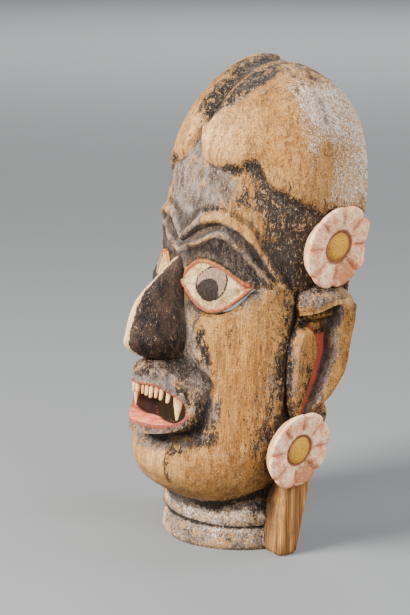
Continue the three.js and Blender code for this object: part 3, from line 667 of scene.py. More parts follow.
def hollow(material):
    """The gouged inside: the head drawn in by the wall, with shallow scoops left by the gouge."""
    top = CROWN - WALL - DOME
    z = np.concatenate([np.arange(FOOT_FLOOR, DOME, 5.0),
                        DOME + top * np.sin(np.linspace(0, 1.5, 34))])
    dome = np.clip((z - DOME) / top, 0, 1)
    degrees = np.arange(-180, 180, 4.0)[None, :]
    z, dome = z[:, None], dome[:, None]
    x, y = skull(degrees, z, dome, WALL)
    x, y, z = np.broadcast_arrays(x, y, z)
    scoop = 0.7 * np.abs(np.sin(z * 0.42 + 3 * cloud(x, y, z, 30, 51))) \
        * np.abs(np.cos(np.radians(degrees) * 14 + 4 * cloud(x, y, z, 40, 52)))
    length = np.hypot(x, y - 30) + 1e-6
    return surface("hollow", place(x - x / length * scoop, y - (y - 30) / length * scoop, z),
                   material)


def mouth(material):
    """The mouth's opening: rings front to back after open_above and open_below, with a level
    floor that drops away into the hollow, cut right through."""
    y = np.array([165, 152, 144, 138, 132, 126, 120, 115, 109, 103, 96, 84, 70.0])[:, None]
    drop = np.interp(y, [70, 100, 113, 118], [9, 8, 1, 0])
    narrow = np.interp(y, [70, 100, 116], [0.88, 0.9, 1])
    turn = np.radians(np.arange(0, 360, 4.0))[None, :]
    s, c = np.sin(turn), np.cos(turn)
    aside = MOUTH_HALF * np.abs(c) ** (2 / 3)
    tall = np.where(s > 0, open_above(aside), -open_below(aside) - drop * np.abs(s) ** 0.5)
    z = MOUTH_LEVEL + tall
    x = aside * np.sign(c) * narrow
    x, y, z = np.broadcast_arrays(x, y, z)
    uneven = 0.3 * cloud(x, y, z, 7, 71) * (np.abs(s) > 0.1)
    # Painted shade: dark from the teeth inward, under the palate and in the near corner, over the
    # dark bare wood further back.
    mouth_shade_and_dark_wood = np.interp(y + 6 * cloud(x, y, z, 14, 72), [96, 112, 122], [1, 0.75, 0])
    mouth_shade_and_dark_wood = np.where(s > 0, np.maximum(mouth_shade_and_dark_wood, 0.55), mouth_shade_and_dark_wood)
    mouth_shade_and_dark_wood = np.where((x > 30) & (np.abs(s) < 0.7), 0.62, mouth_shade_and_dark_wood)
    return surface("mouth", place(x, y, z + uneven), material, {"mouth_shade_and_dark_wood": mouth_shade_and_dark_wood})


def slit(side, material):
    """The slit to look through, under the outer half of the eye."""
    d = np.linspace(SLIT_FROM, SLIT_TO, 13)
    share = (d - SLIT_FROM) / (SLIT_TO - SLIT_FROM)
    along = (d - EYE_FROM) / 40
    lid = 234.6 - 1.8 * along - 20 * np.maximum(0, np.sin(np.pi * np.minimum(1, along) ** 1.1))
    middle = lid - 3.4 + 2.6 * rise(0.6, 1, share)
    half = SLIT_HEIGHT / 2 * np.sqrt(np.maximum(0.06, 1 - (2 * share - 1) ** 2))
    x, y = skull(d, middle, 0 * d, 0)
    px = np.stack([x + 9, x - 16, x - 16, x + 9], 1) * side
    py = np.stack([y + 14, y - 24, y - 24, y + 14], 1)
    pz = np.stack([middle + half, middle + half, middle - half, middle - half], 1)
    return surface("slit", place(px, py, pz), material)


def tooth(x, width, length, material, tip=0.7, lean=0.0, thick=2.0):
    """One tooth: a rounded peg standing square to the lips' front line, narrowing to its tip."""
    step = 0.5
    slope = float(lip_front(abs(x) + step, 146.0) - lip_front(abs(x) - step, 146.0)) / (2 * step)
    slope = slope * (1 if x > 0 else -1) if abs(x) > 1 else 0.0
    unit = math.hypot(1, slope)
    along = (1 / unit, slope / unit)
    root = MOUTH_LEVEL + float(open_above(abs(x))) + 3
    y = float(lip_front(abs(x), 150.0)) - 1.6 - thick
    down = np.array([0, 0.25, 0.5, 0.75, 0.9, 0.97, 1.0])[:, None]
    wide = np.interp(down, [0, 0.3, 0.9, 0.97, 1], [1, 1, tip, tip * 0.85, tip * 0.6])
    turn = np.radians(np.arange(0, 360, 20.0))[None, :]
    u = width / 2 * wide * power(np.cos(turn), 0.55) + lean * down
    v = thick * np.minimum(1, wide * 1.2) * power(np.sin(turn), 0.55) - 1.2 * down
    z = root - (length + 3) * down
    return surface("tooth", place(x + along[0] * u - along[1] * v,
                                  y + along[1] * u + along[0] * v, z), material,
                   {"gum": 1 - rise(0.2, 0.45, down)})


def crack(material):
    """The drying crack that runs up the chin: a thin wedge with wandering sides."""
    z = np.linspace(CRACK_FOOT, CRACK_TOP, 17)
    x, y, _ = carved(np.full_like(z, CRACK_ANGLE), z, 0 * z)
    half = 0.2 + 0.9 * np.sin((z - CRACK_FOOT) / (CRACK_TOP - CRACK_FOOT) * np.pi)
    sway = 0.8 * cloud(z, 0 * z, 0 * z, 6, 61)
    px = np.stack([x - half + sway, x + half + 1 + sway, x - 1 + sway], 1)
    py = np.stack([y + 6, y + 6, y - 4], 1)
    return surface("crack", place(px, py, np.repeat(z[:, None], 3, 1)), material)


# Where the paint lies: how much each colour covers, from 0 to 1.

def most(*covers):
    """The greatest of several covers, point by point."""
    return functools.reduce(np.maximum, covers)


def blots(degrees, z, places):
    """Soft patches: the sum of rounded humps at (degrees, height) with a spread each way."""
    total = np.zeros(np.broadcast(degrees, z).shape)
    for d, h, wide, tall, amount in places:
        total += amount * np.exp(-((degrees - d) / wide) ** 2 - ((z - h) / tall) ** 2)
    return total


def face_paint(degrees, x, y, z):
    """Cover of each colour over the head, from 0 to 1, by angle round and height, with patchy
    edges. Where a cover is near a half, its chips and the colour under them mix evenly."""
    around = np.abs(degrees)
    hair = z - hair_line(around)
    brow, fold = z - brow_line(around), z - lid_fold(around)
    eye = outside_eye(around, z)
    lips, rim = outside_lips(x, z), outside_mouth(x, z)
    on_lips = (around < 40) & (z < 175) & (z > 100)
    patchy = 0.5 * cloud(x, y, z * 0.6, 16, 81) + 0.35 * cloud(x, y, z * 0.5, 6, 82)
    ragged = 0.5 * cloud(x, y, z * 0.6, 12, 83) + 0.35 * cloud(x, y, z * 0.5, 4.5, 84)

    # Grey: forehead, furrows over the eye, beside the nose and round the mouth.
    forehead = rise(-2, -10, hair) * rise(-6, 6, brow) * (0.95 - 0.6 * rise(14, 34, around))
    forehead *= 1 - rise(40, 56, around)
    edge = np.interp(z, [88, 100, 120, 140, 160, 180, 200, 212, 222],
                     [18, 34, 37.5, 36.5, 31, 25, 21, 25, 31]) + 5 * ragged
    muzzle = (1 - rise(-4, 4, around - edge)) * rise(86, 97, z) * (1 - rise(216, 228, z)) * 0.86
    furrows = rise(1.5, 5, eye) * rise(9, -2, brow) * (z > 236) * (1 - rise(50, 62, around)) * 0.92
    furrows *= 1 - 0.5 * bell(brow - 1, 3.5) * rise(12, 20, around)
    grey = most(forehead, muzzle, furrows, 0.42 * rise(48, 40, z),
                0.7 * rise(34, 46, around) * (1 - rise(50, 58, around)) * bell(z - 226, 9)
                * (eye > 1.5))
    grey = grey + blots(degrees, z, [(3, 14, 26, 7, 0.3), (66, 140, 6, 70, 0.4),
                                     (-4, 98, 14, 9, 0.6), (60, 240, 8, 14, 0.4)])
    grey = grey + 0.75 * patchy * rise(0.05, 0.4, grey)

    # Black: under the hairline at the temple, down before the ear, and in the deep grooves; and a
    # painted shadow under the lower lip.
    temple = np.interp(z, [40, 60, 110, 200, 225, 250, 270, 285, 300, 312, 322, 332],
                       [62, 66, 69, 68.5, 67, 58, 53, 50, 47, 44, 40, 35]) + 8 * ragged
    black = 0.92 * rise(-5, 5, around - temple) * rise(3, -3, hair) * (z > 36)
    black *= 1 - 0.45 * rise(240, 200, z) * rise(3, 14, around - temple) * rise(78, 82, around)
    crease = around - muzzle_fold(z)
    strokes = 0.6 * cloud(x + 0.15 * y, 0 * y, z * 0.1, 4.6, 85) + 0.5 * cloud(x, y, z, 9, 86)
    crown = rise(360, 372, z) * (around < 120)
    near = rise(8, 30, z - 358) * 26 + 10
    black = most(
        black,
        0.55 * rise(30, 12, np.abs(hair + 14)) * rise(27, 36, around) * (z > 288),
        0.98 * bell(around - GROOVE_ANGLE, 4.6) * rise(106, 122, z) * (1 - rise(226, 240, z)),
        0.38 * bell((brow + fold) / 2, 4.2) * rise(2, 8, around) * (1 - rise(56, 66, around)),
        0.36 * bell(brow - 8, 3.4) * rise(2, 8, around) * (1 - rise(40, 60, around)),
        0.34 * rise(2, 6, eye) * rise(1, -5, fold) * (z > 232) * (around < 62),
        (0.8 + 0.6 * ragged) * bell(hair + 4.5, 4.2) * rise(14, 30, around),
        0.5 * rise(2, 8, hair) * rise(16, 8, hair) * rise(44, 60, around),
        # Painted shadow: a black line under the lower lip, where it overhangs the chin.
        0.95 * bell(lips - 1.12, 0.09) * on_lips * (z < 116),
        0.9 * bell(rim - 6.5, 3.6) * on_lips * (np.abs(x) > 30) * (z > 108) * (z < 150),
        0.36 * rise(4, 9, rim) * (muzzle > 0.4) * (z < 176) * (z > 112),
        0.38 * bell(crease + 1.5, 4.4) * rise(96, 108, z) * (1 - rise(166, 176, z)),
        0.5 * bell(around - edge, 4) * rise(92, 104, z) * rise(214, 200, z),
        0.98 * bell(x - 0.5, 7.5) * crown,
        (0.78 + 0.9 * strokes) * rise(1.1, 0.6, x / near) * rise(-36, -8, x) * crown,
        (0.46 + 0.9 * strokes) * rise(380, 400, z) * rise(90, 50, x))
    grey = most(grey, (0.6 + 0.6 * strokes) * rise(1.4, 0.8, x / near) * rise(-30, -4, x)
                * crown)
    black = black + blots(degrees, z, [
        (48, 263, 6, 22, 0.3), (30, 104, 5, 7, 0.5), (14.5, 82, 2.4, 12, 0.9),
        (20, 92, 7, 8, 0.5), (40, 196, 6, 7, 0.42), (70, 386, 12, 9, 0.34),
        (66, 30, 12, 14, 0.45), (55, 14, 20, 5, 0.4), (8, 166, 12, 7, 0.4), (5, 160, 5, 4, 0.4),
        (63, 110, 10, 34, 0.36), (65, 175, 8, 56, 0.36), (58, 248, 12, 14, 0.3),
        (44, 304, 9, 10, 0.3)])
    black = most(
        black,
        bell(degrees - CRACK_ANGLE - 0.5, 1.5) * rise(60, 68, z) * rise(100, 92, z),
        0.9 * bell(z - NECK_GROOVE - 0.2, 1.9),
        0.8 * bell(z - 39 - 21 * rise(20, 90, around), 5) * rise(0, 20, around),
        0.22 * (z < 42))
    black = black + 0.62 * ragged * rise(0.04, 0.4, black) + 0.1 * rise(0.1, 0.6, ragged)

    # Pale: the worn, dusty right of the crown; warm: where the ochre lies thickest.
    pale = rise(62, 86, around + (z - 350) * 0.2 + 18 * patchy) * rise(-2, 10, hair)
    pale = pale * (1 - 0.6 * rise(388, 402, z)) - blots(degrees, z, [(88, 340, 10, 16, 0.6)])
    pale = most(pale, 0.86 * rise(52, 40, z)) + blots(degrees, z, [
        (54, 238, 6, 8, 0.45), (22, 300, 12, 20, 0.3), (40, 215, 10, 6, 0.3),
        (60, 296, 24, 6, 0.3)])
    warm = blots(degrees, z, [
        (60, 345, 26, 34, 0.9), (52, 160, 18, 60, 0.9), (44, 90, 26, 26, 0.7),
        (10, 70, 16, 12, 0.5), (92, 345, 10, 14, 0.6), (44, 290, 16, 20, 0.6)])
    warm = most(warm, 0.8 * (z > 376) * (around < 50)) + 0.4 * patchy
    # Painted highlight on the chin and the front of the hair, where the ochre is also paler.
    highlight_and_pale_tan = blots(degrees, z, [(8, 358, 24, 20, 1.0), (6, 84, 13, 12, 0.8), (-4, 60, 14, 8, 0.5)])

    # Specks of black left on the ochre.
    specks = 0.42 + 0.6 * rise(48, 66, around) * (z < 230) + 0.3 * rise(300, 340, z) + 0.4 * patchy
    specks = specks + blots(degrees, z, [(42, 195, 9, 12, 0.6), (64, 100, 14, 30, 0.4),
                                         (50, 262, 14, 26, 0.5), (60, 30, 30, 24, 0.5)])

    def from_middle(middle):
        """Distance from the middle of the iris or the pupil, in millimetres."""
        return np.hypot((around - middle[0]) * IRIS_STRETCH[0], (z - middle[1]) * IRIS_STRETCH[1])

    # Red: the lids' edges, the corner of the eye and the lips. Then the eyes themselves.
    red = np.where(z > 200, most(0.8 * bell(eye - 0.1, 1.15), 0.42 * bell(eye + 2.2, 1.2)), 0)
    red = most(red, blots(degrees, z, [(46, 233.5, 2.6, 5, 1.0)]),
               0.95 * rise(2.0, 0.6, rim) * on_lips, 0.55 * rise(7, 2, rim) * on_lips * (z < 128))
    lash = 0.95 * bell(eye - 2.6, 1.0) * (z > 200) * np.where(z > eye_axis(around), 0.75, 1)
    black = most(black, lash)
    cream = np.where(z > 200, rise(-0.4, -2.0, eye), 0.0)
    iris = rise(14.6, 13.4, from_middle(IRIS)) * cream
    pupil = iris * rise(11.0, 8.6, from_middle(PUPIL))
    ring = bell(from_middle(IRIS) - 13.2, 1.0) * cream
    shape = np.broadcast(degrees, x, z).shape
    return {key: np.clip(np.broadcast_to(value, shape), 0, 1) for key, value in {
        "grey": grey, "black": black, "pale": pale, "warm": warm, "highlight_and_pale_tan": highlight_and_pale_tan,
        "specks": specks, "red": red, "cream": cream, "iris": iris,
        "pupil": most(pupil, 0.9 * ring)}.items()}


def ear_paint(y, z, x):
    """Cover of each colour over the ear: red in the hollow, grey on the wall and the brow, ochre
    rim and front band, black along the front edge, and black in the depths under the ear's brow as
    painted shade."""
    front, band, fold, rear = ear_front(z), ear_band(z), ear_fold(z), ear_rear(z)
    under = rise(EAR_LEDGE + 1.5, EAR_LEDGE - 1.5, z)
    floor = rise(0.5, 3, y - fold) * rise(4, 0.5, y - band) * under
    wall = bell(y - fold, 2.6) * under
    broken = 0.5 * cloud(x, y, z * 0.6, 10, 87) + 0.4 * cloud(x, y, z * 0.5, 4.5, 88)
    black = most(
        # Painted shade: black in the depth of the hollow under the ear's brow.
        rise(EAR_LEDGE - 15, EAR_LEDGE - 3, z) * rise(-1, 3, y - fold) * under,
        0.95 * rise(4.5, 1.0, front - y) * under,
        0.6 * rise(2, -0.5, np.abs(y - band) - 1) * under * (z > 140),
        (0.26 + 0.24 * rise(174, 158, z)) * (y > band) * under,
        0.42 * rise(EAR_LEDGE + 2, EAR_LEDGE + 12, z),
        0.42 * rise(8, 2, y - rear) * under * (z > 160))
    black = black + 0.6 * broken * rise(0.04, 0.4, black)
    grey = most(
        0.72 * rise(EAR_LEDGE + 4, EAR_LEDGE + 12, z),
        0.9 * wall,
        0.6 * rise(11, 4, front - y) * under * (z > 140),
        0.62 * rise(fold - 7, rear, y) * rise(140, 190, z))
    grey = grey + 0.6 * broken * rise(0.04, 0.4, grey)
    red = 0.95 * floor * rise(EAR_LEDGE - 3, EAR_LEDGE - 16, z)
    specks = 0.6 + 0.3 * rise(165, 140, z) * (y > band) + 0.3 * rise(170, 200, z) * (y < fold)
    warm = 0.8 * (y < fold - 2) * under + 0.5 * (y > band) * under
    shape = np.broadcast(y, z).shape
    return {key: np.clip(np.broadcast_to(value, shape), 0, 1) for key, value in {
        "grey": grey, "black": black, "red": red, "specks": specks, "warm": warm,
        "pale": 0.4 * rise(EAR_LEDGE + 6, EAR_LEDGE + 14, z),
        # Painted highlight along the top of the ear's brow.
        "highlight_and_pale_tan": bell(z - EAR_LEDGE - 4, 4) * rise(6, 14, front - y)}.items()}


# Finishes: shader groups for chipped coats, grain and pits, and the materials made of them.

def tone(red, green, blue):
    """A colour given as the eye sees it, 0 to 255, for a shader's socket."""
    linear = [(c / 255 / 12.92) if c <= 10.3 else ((c / 255 + 0.055) / 1.055) ** 2.4
              for c in (red, green, blue)]
    return (*linear, 1.0)


class Nodes:
    """Short ways to lay and join the nodes of one shader tree."""

    def __init__(self, tree):
        self.tree = tree

    def put(self, kind, inputs=None, **settings):
        node = self.tree.nodes.new(kind)
        for key, value in settings.items():
            setattr(node, key, value)
        for key, value in (inputs or {}).items():
            self.feed(node.inputs[key], value)
        return node

    def feed(self, socket, value):
        if isinstance(value, bpy.types.NodeSocket):
            self.tree.links.new(value, socket)
        else:
            socket.default_value = value

    def calc(self, operation, *values):
        node = self.put("ShaderNodeMath", operation=operation)
        for socket, value in zip(node.inputs, values):
            self.feed(socket, value)
        return node.outputs[0]

    def fit(self, value, low, high, to_low=0.0, to_high=1.0):
        return self.put("ShaderNodeMapRange", {
            "Value": value, "From Min": low, "From Max": high, "To Min": to_low,
            "To Max": to_high}, interpolation_type="SMOOTHSTEP").outputs[0]

    def blend(self, share, one, other, mode="MIX"):
        node = self.put("ShaderNodeMix", data_type="RGBA", blend_type=mode)
        for index, value in ((0, share), (6, one), (7, other)):
            self.feed(node.inputs[index], value)
        return node.outputs[2]

    def over(self, colour, cover, strength, paint):
        """The colour with paint laid over it: its cover times its strength."""
        return self.blend(self.calc("MULTIPLY", cover, strength), colour, paint)

    def noise(self, where, scale, detail=4.0, rough=0.55, twist=0.0):
        return self.put("ShaderNodeTexNoise", {
            "Vector": where, "Scale": scale, "Detail": detail, "Roughness": rough,
            "Distortion": twist}).outputs[0]

    def stretch(self, where, scale, turn=(0.0, 0.0, 0.0), shift=(0.0, 0.0, 0.0)):
        return self.put("ShaderNodeMapping", {
            "Vector": where, "Scale": scale, "Rotation": turn, "Location": shift}).outputs[0]

    def value(self, name):
        return self.put("ShaderNodeAttribute", attribute_name=name).outputs["Fac"]


def effect(name, inputs, outputs):
    """A shader node group with float or vector sockets; returns it with its ends."""
    group = bpy.data.node_groups.new(name, "ShaderNodeTree")
    for key, value in inputs.items():
        kind = "NodeSocketVector" if value is None else "NodeSocketFloat"
        socket = group.interface.new_socket(name=key, in_out="INPUT", socket_type=kind)
        if value is not None:
            socket.default_value = value
    for key in outputs:
        group.interface.new_socket(name=key, in_out="OUTPUT", socket_type="NodeSocketFloat")
    laid = Nodes(group)
    start = group.nodes.new("NodeGroupInput")
    end = group.nodes.new("NodeGroupOutput")
    return group, laid, start.outputs, end.inputs


def chipped_paint():
    """Cover of a chipped coat: the painted amount, plus noise of two sizes, cut off sharply."""
    group, n, given, out = effect("chipped_paint", {
        "Vector": None, "Amount": 0.5, "Size": 250.0, "Raggedness": 0.7, "Softness": 0.06},
        ["Cover"])
    coarse = n.noise(given["Vector"], given["Size"], 5.0, 0.68, 0.6)
    fine = n.noise(given["Vector"], n.calc("MULTIPLY", given["Size"], 4.3), 3.0, 0.6)
    mixed = n.calc("MULTIPLY_ADD", fine, 0.35, n.calc("MULTIPLY", coarse, 0.65))
    ragged = n.calc("MULTIPLY", n.calc("SUBTRACT", mixed, 0.5), given["Raggedness"])
    level = n.calc("MULTIPLY_ADD", ragged, 3.2, given["Amount"])
    low = n.calc("SUBTRACT", 0.5, given["Softness"])
    high = n.calc("ADD", 0.5, given["Softness"])
    n.feed(out["Cover"], n.fit(level, low, high))
    return group


def wood_grain():
    """Streaks along the block's height and the fine height of open pores."""
    group, n, given, out = effect("wood_grain", {
        "Vector": None, "Size": 260.0, "Length": 0.055}, ["Streak", "Pores"])
    along = n.put("ShaderNodeCombineXYZ", {"X": 1.0, "Y": 1.0, "Z": given["Length"]}).outputs[0]
    leant = n.stretch(given["Vector"], along, GRAIN_LEAN)
    wide = n.noise(leant, n.calc("MULTIPLY", given["Size"], 0.35), 4.0, 0.6, 0.4)
    thin = n.noise(leant, given["Size"], 5.0, 0.65, 0.2)
    pore = n.noise(leant, n.calc("MULTIPLY", given["Size"], 3.0), 2.0, 0.6)
    n.feed(out["Streak"], n.fit(n.calc("MULTIPLY_ADD", wide, 0.5, n.calc("MULTIPLY", thin, 0.5)),
                                0.34, 0.68))
    n.feed(out["Pores"], n.fit(n.calc("MULTIPLY_ADD", pore, 0.6, n.calc("MULTIPLY", thin, 0.4)),
                               0.62, 0.42))
    return group


def pitting():
    """Scattered small pits: cells whose nearest point lies close, thinned out by slow noise."""
    group, n, given, out = effect("pitting", {
        "Vector": None, "Size": 260.0, "Density": 0.5}, ["Pit"])
    cells = n.put("ShaderNodeTexVoronoi", {
        "Vector": given["Vector"], "Scale": given["Size"], "Randomness": 1.0})
    slow = n.noise(given["Vector"], n.calc("MULTIPLY", given["Size"], 0.16), 3.0, 0.6)
    size = n.calc("MULTIPLY", n.fit(n.calc("ADD", slow, given["Density"]), 0.8, 1.35), 0.42)
    gap = n.calc("SUBTRACT", size, cells.outputs["Distance"])
    n.feed(out["Pit"], n.fit(gap, 0.0, 0.1))
    return group


CHIPS, GRAIN, PITS = chipped_paint(), wood_grain(), pitting()


def material(name):
    """An empty node material with its shader; returns it, its tree and Object coordinates."""
    made = bpy.data.materials.new(name)
    made.use_nodes = True
    n = Nodes(made.node_tree)
    shader = made.node_tree.nodes["Principled BSDF"]
    where = n.put("ShaderNodeTexCoord").outputs["Object"]
    return made, n, shader, where


def coat(n, where, amount, size=250.0, ragged=0.7, soft=0.06, shift=(0.0, 0.0, 0.0)):
    """One chipped coat's cover in a material, its chips moved by shift."""
    moved = n.stretch(where, (1.0, 1.0, 1.0), shift=shift)
    return n.put("ShaderNodeGroup", {
        "Vector": moved, "Amount": amount, "Size": size, "Raggedness": ragged,
        "Softness": soft}, node_tree=CHIPS).outputs["Cover"]


def grain(n, where, size=260.0, length=0.055):
    """Streak and pores of the wood in a material."""
    node = n.put("ShaderNodeGroup", {"Vector": where, "Size": size, "Length": length},
                 node_tree=GRAIN)
    return node.outputs["Streak"], node.outputs["Pores"]


def pits(n, where, size, density):
    """Pits in a material."""
    return n.put("ShaderNodeGroup", {"Vector": where, "Size": size, "Density": density},
                 node_tree=PITS).outputs["Pit"]


def grit_of(n, where):
    """The finest grit in a surface."""
    return n.noise(where, 850.0, 4.0, 0.75)


def finish_with(n, shader, colour, rough, height, strength=0.5, distance=0.0006):
    """Joins colour, roughness and relief to the shader."""
    n.feed(shader.inputs["Base Color"], colour)
    n.feed(shader.inputs["Roughness"], rough)
    shader.inputs["Specular IOR Level"].default_value = 0.2
    bump = n.put("ShaderNodeBump", {"Strength": strength, "Distance": distance,
                                    "Height": height})
    n.feed(shader.inputs["Normal"], bump.outputs[0])


def painted_wood():
    """Old polychrome on carved wood: ochre over bare wood, grey and black coats broken by wear,
    specks, dusty pale crown, red lids, cream eyes with a dark iris; painted highlights over paler
    ochre, and painted shade mixed with dirt in the hollows."""
    made, n, shader, where = material("painted_wood")
    streak, pores = grain(n, where, 300.0)
    ridge, dent = n.value("ridge"), n.value("dent")
    tall = n.stretch(where, COAT_LENGTH, GRAIN_LEAN)
    slow = n.noise(where, 30.0, 5.0, 0.65)
    mid = n.noise(tall, 150.0, 6.0, 0.7)
    grit = grit_of(n, where)

    wood = n.blend(streak, tone(92, 56, 25), tone(158, 104, 50))
    ochre = n.blend(n.value("warm"), tone(192, 138, 68), tone(178, 116, 40))
    # Painted highlight, over paler ochre: pale cream on the chin, the front of the hair and the
    # ear's brow.
    ochre = n.blend(n.value("highlight_and_pale_tan"), ochre, tone(240, 192, 132))
    ochre = n.over(ochre, n.fit(mid, 0.44, 0.62), 0.5, tone(214, 160, 94))
    ochre = n.over(ochre, n.fit(slow, 0.46, 0.66), 0.5, tone(138, 84, 34))
    colour = n.blend(n.fit(streak, 0.75, 0.1, 0.0, 0.6), ochre, wood)

    dull = n.calc("MULTIPLY", n.value("pale"), 0.35)
    colour = n.blend(dull, colour, tone(140, 118, 94))
    dust = coat(n, where, n.calc("MULTIPLY_ADD", n.value("pale"), 0.5, 0.05), 560.0, 1.2, 0.08,
                (3, 1, 7))
    colour = n.over(colour, dust, 0.9, tone(232, 222, 210))

    grey = coat(n, tall, n.value("grey"), 300.0, 0.95, 0.12, (5, 2, 1))
    shade = n.blend(n.fit(mid, 0.38, 0.64), tone(62, 57, 58), tone(136, 125, 121))
    colour = n.over(colour, grey, 0.9, shade)

    left = n.calc("MULTIPLY_ADD", ridge, -0.14, n.value("black"))
    stain = coat(n, tall, n.calc("ADD", left, 0.14), 330.0, 1.0, 0.1, (1, 6, 3))
    colour = n.over(colour, stain, 0.5, tone(92, 58, 30))
    black = coat(n, tall, left, 330.0, 1.0, 0.07, (1, 6, 3))
    dark = n.blend(n.fit(mid, 0.42, 0.68), tone(17, 14, 13), tone(50, 43, 40))
    colour = n.over(colour, black, 0.94, dark)

    speck = coat(n, tall, n.calc("MULTIPLY_ADD", n.value("specks"), 0.3, -0.04), 400.0, 1.15, 0.07,
                 (4, 9, 5))
    colour = n.over(colour, speck, 0.8, tone(42, 30, 21))

    worn = coat(n, where, n.calc("MULTIPLY", ridge, 0.42), 150.0, 1.1, 0.08, (2, 2, 2))
    colour = n.over(colour, worn, 0.7, tone(196, 144, 84))
    flecks = n.calc("MULTIPLY_ADD", n.calc("MAXIMUM", black, grey), 0.2, 0.04)
    fleck = coat(n, tall, flecks, 620.0, 1.15, 0.06, (9, 4, 2))
    colour = n.over(colour, fleck, 0.7, tone(198, 166, 130))
    # Painted shade in the hollows, mixed with dirt: near black where the surface sinks in (dent),
    # broken up by noise.
    dent_shade_and_dirt = n.calc("MULTIPLY", n.fit(n.calc("ADD", dent, n.calc("MULTIPLY", mid, 0.9)),
                                    0.8, 1.3), 0.62)
    colour = n.blend(dent_shade_and_dirt, colour, tone(24, 17, 13))

    cream = n.blend(n.fit(mid, 0.4, 0.66), tone(244, 212, 156), tone(182, 132, 78))
    colour = n.blend(n.value("cream"), colour, cream)
    worn_iris = n.blend(n.noise(where, 160.0, 3.0), tone(188, 148, 126), tone(92, 72, 64))
    colour = n.over(colour, n.value("iris"), 0.9, worn_iris)
    pupil = coat(n, where, n.value("pupil"), 500.0, 0.4, 0.12, (4, 4, 4))
    colour = n.over(colour, pupil, 0.93, tone(20, 17, 18))
    red = coat(n, where, n.value("red"), 420.0, 0.6, 0.16, (7, 1, 4))
    colour = n.over(colour, red, 0.82, tone(176, 72, 56))
    colour = n.blend(0.8, colour, n.blend(n.fit(grit, 0.34, 0.62), tone(150, 146, 142),
                                          tone(255, 255, 255)), "MULTIPLY")

    gloss = n.fit(n.value("cream"), 0.0, 1.0, 0.66, 0.34)
    rough = n.calc("SUBTRACT", gloss, n.calc("MULTIPLY", black, 0.14))
    height = n.calc("MULTIPLY_ADD", pores, -0.4, n.calc("MULTIPLY", black, 0.3))
    height = n.calc("ADD", height, n.calc("MULTIPLY", speck, -0.45))
    height = n.calc("ADD", height, n.calc("MULTIPLY", grey, 0.2))
    height = n.calc("ADD", height, n.calc("MULTIPLY", grit, 0.9))
    finish_with(n, shader, colour, rough, height, 0.9, 0.0013)
    return made


def nose_wood():
    """Nearly black worn paint on the nose, rubbed to pale ochre along its ridge and tip."""
    made, n, shader, where = material("nose_paint")
    streak, pores = grain(n, where, 300.0)
    tall = n.stretch(where, COAT_LENGTH, GRAIN_LEAN)
    mid = n.noise(tall, 120.0, 6.0, 0.68)
    grit = grit_of(n, where)
    colour = n.blend(n.fit(mid, 0.4, 0.66), tone(22, 16, 13), tone(64, 45, 34))
    brown = coat(n, tall, 0.3, 260.0, 1.0, 0.16, (2, 7, 1))
    colour = n.over(colour, brown, 0.45, tone(98, 69, 48))
    rubbed = coat(n, where, n.calc("MULTIPLY_ADD", n.value("ridge"), 0.22, n.value("rubbed")),
                  240.0, 0.7, 0.12, (8, 1, 2))
    bare = n.blend(streak, tone(196, 150, 100), tone(230, 196, 150))
    colour = n.over(colour, rubbed, 0.9, bare)
    fleck = coat(n, tall, 0.12, 700.0, 1.0, 0.05, (9, 4, 2))
    colour = n.over(colour, fleck, 0.45, tone(196, 170, 142))
    height = n.calc("MULTIPLY_ADD", pores, -0.4, n.calc("MULTIPLY", grit, 0.9))
    finish_with(n, shader, colour, 0.5, height, 0.7, 0.0009)
    return made


def rosette_paint():
    """Pink-white petals over red, orange-red where they have worn, a yellow stippled middle, with
    painted shade as a dark ring round the middle and in the hollows.
    """
    made, n, shader, where = material("rosette_paint")
    share, petal = n.value("share"), n.value("petal")
    mid = n.noise(where, 110.0, 5.0, 0.62)
    white = n.blend(n.fit(mid, 0.36, 0.64), tone(255, 226, 188), tone(244, 180, 138))
    pink = coat(n, where, n.calc("MULTIPLY_ADD", petal, -0.42, 0.72), 190.0, 1.2, 0.14, (1, 3, 5))
    colour = n.over(white, pink, 0.62, tone(222, 112, 76))
    bare = coat(n, where, n.calc("MULTIPLY_ADD", n.value("ridge"), 0.2, 0.16), 260.0, 1.0, 0.08,
                (5, 5, 2))
    colour = n.over(colour, bare, 0.7, tone(206, 158, 108))
    worn = coat(n, where, n.value("worn"), 210.0, 0.8, 0.12, (6, 1, 2))
    colour = n.over(colour, worn, 0.85, n.blend(mid, tone(150, 84, 46), tone(206, 130, 78)))
    middle = n.fit(share, 0.4, 0.36)
    dots = pits(n, where, 520.0, 0.62)
    yellow = n.blend(mid, tone(222, 176, 62), tone(184, 122, 36))
    yellow = n.over(yellow, dots, 0.55, tone(150, 108, 56))
    colour = n.blend(middle, colour, yellow)
    # Painted shade: a dark ring in the groove round the yellow middle.
    rim = n.calc("MULTIPLY", n.fit(n.calc("ABSOLUTE", n.calc("SUBTRACT", share, 0.385)),
                                   0.055, 0.018), 0.85)
    colour = n.blend(rim, colour, tone(128, 62, 44))
    # Painted shade in the hollows (dent).
    colour = n.over(colour, n.value("dent"), 0.7, tone(104, 60, 46))
    edge = coat(n, where, n.calc("MULTIPLY", n.value("side"), 0.75), 160.0, 0.6, 0.12, (3, 3, 3))
    colour = n.over(colour, edge, 0.75, tone(192, 148, 104))
    grit = grit_of(n, where)
    colour = n.blend(0.7, colour, n.blend(n.fit(grit, 0.34, 0.6), tone(176, 160, 148),
                                          tone(255, 255, 255)), "MULTIPLY")
    height = n.calc("MULTIPLY_ADD", grit, 0.9,
                    n.calc("MULTIPLY", n.calc("MULTIPLY", dots, middle), -0.8))
    finish_with(n, shader, colour, 0.72, height, 0.6, 0.0007)
    return made


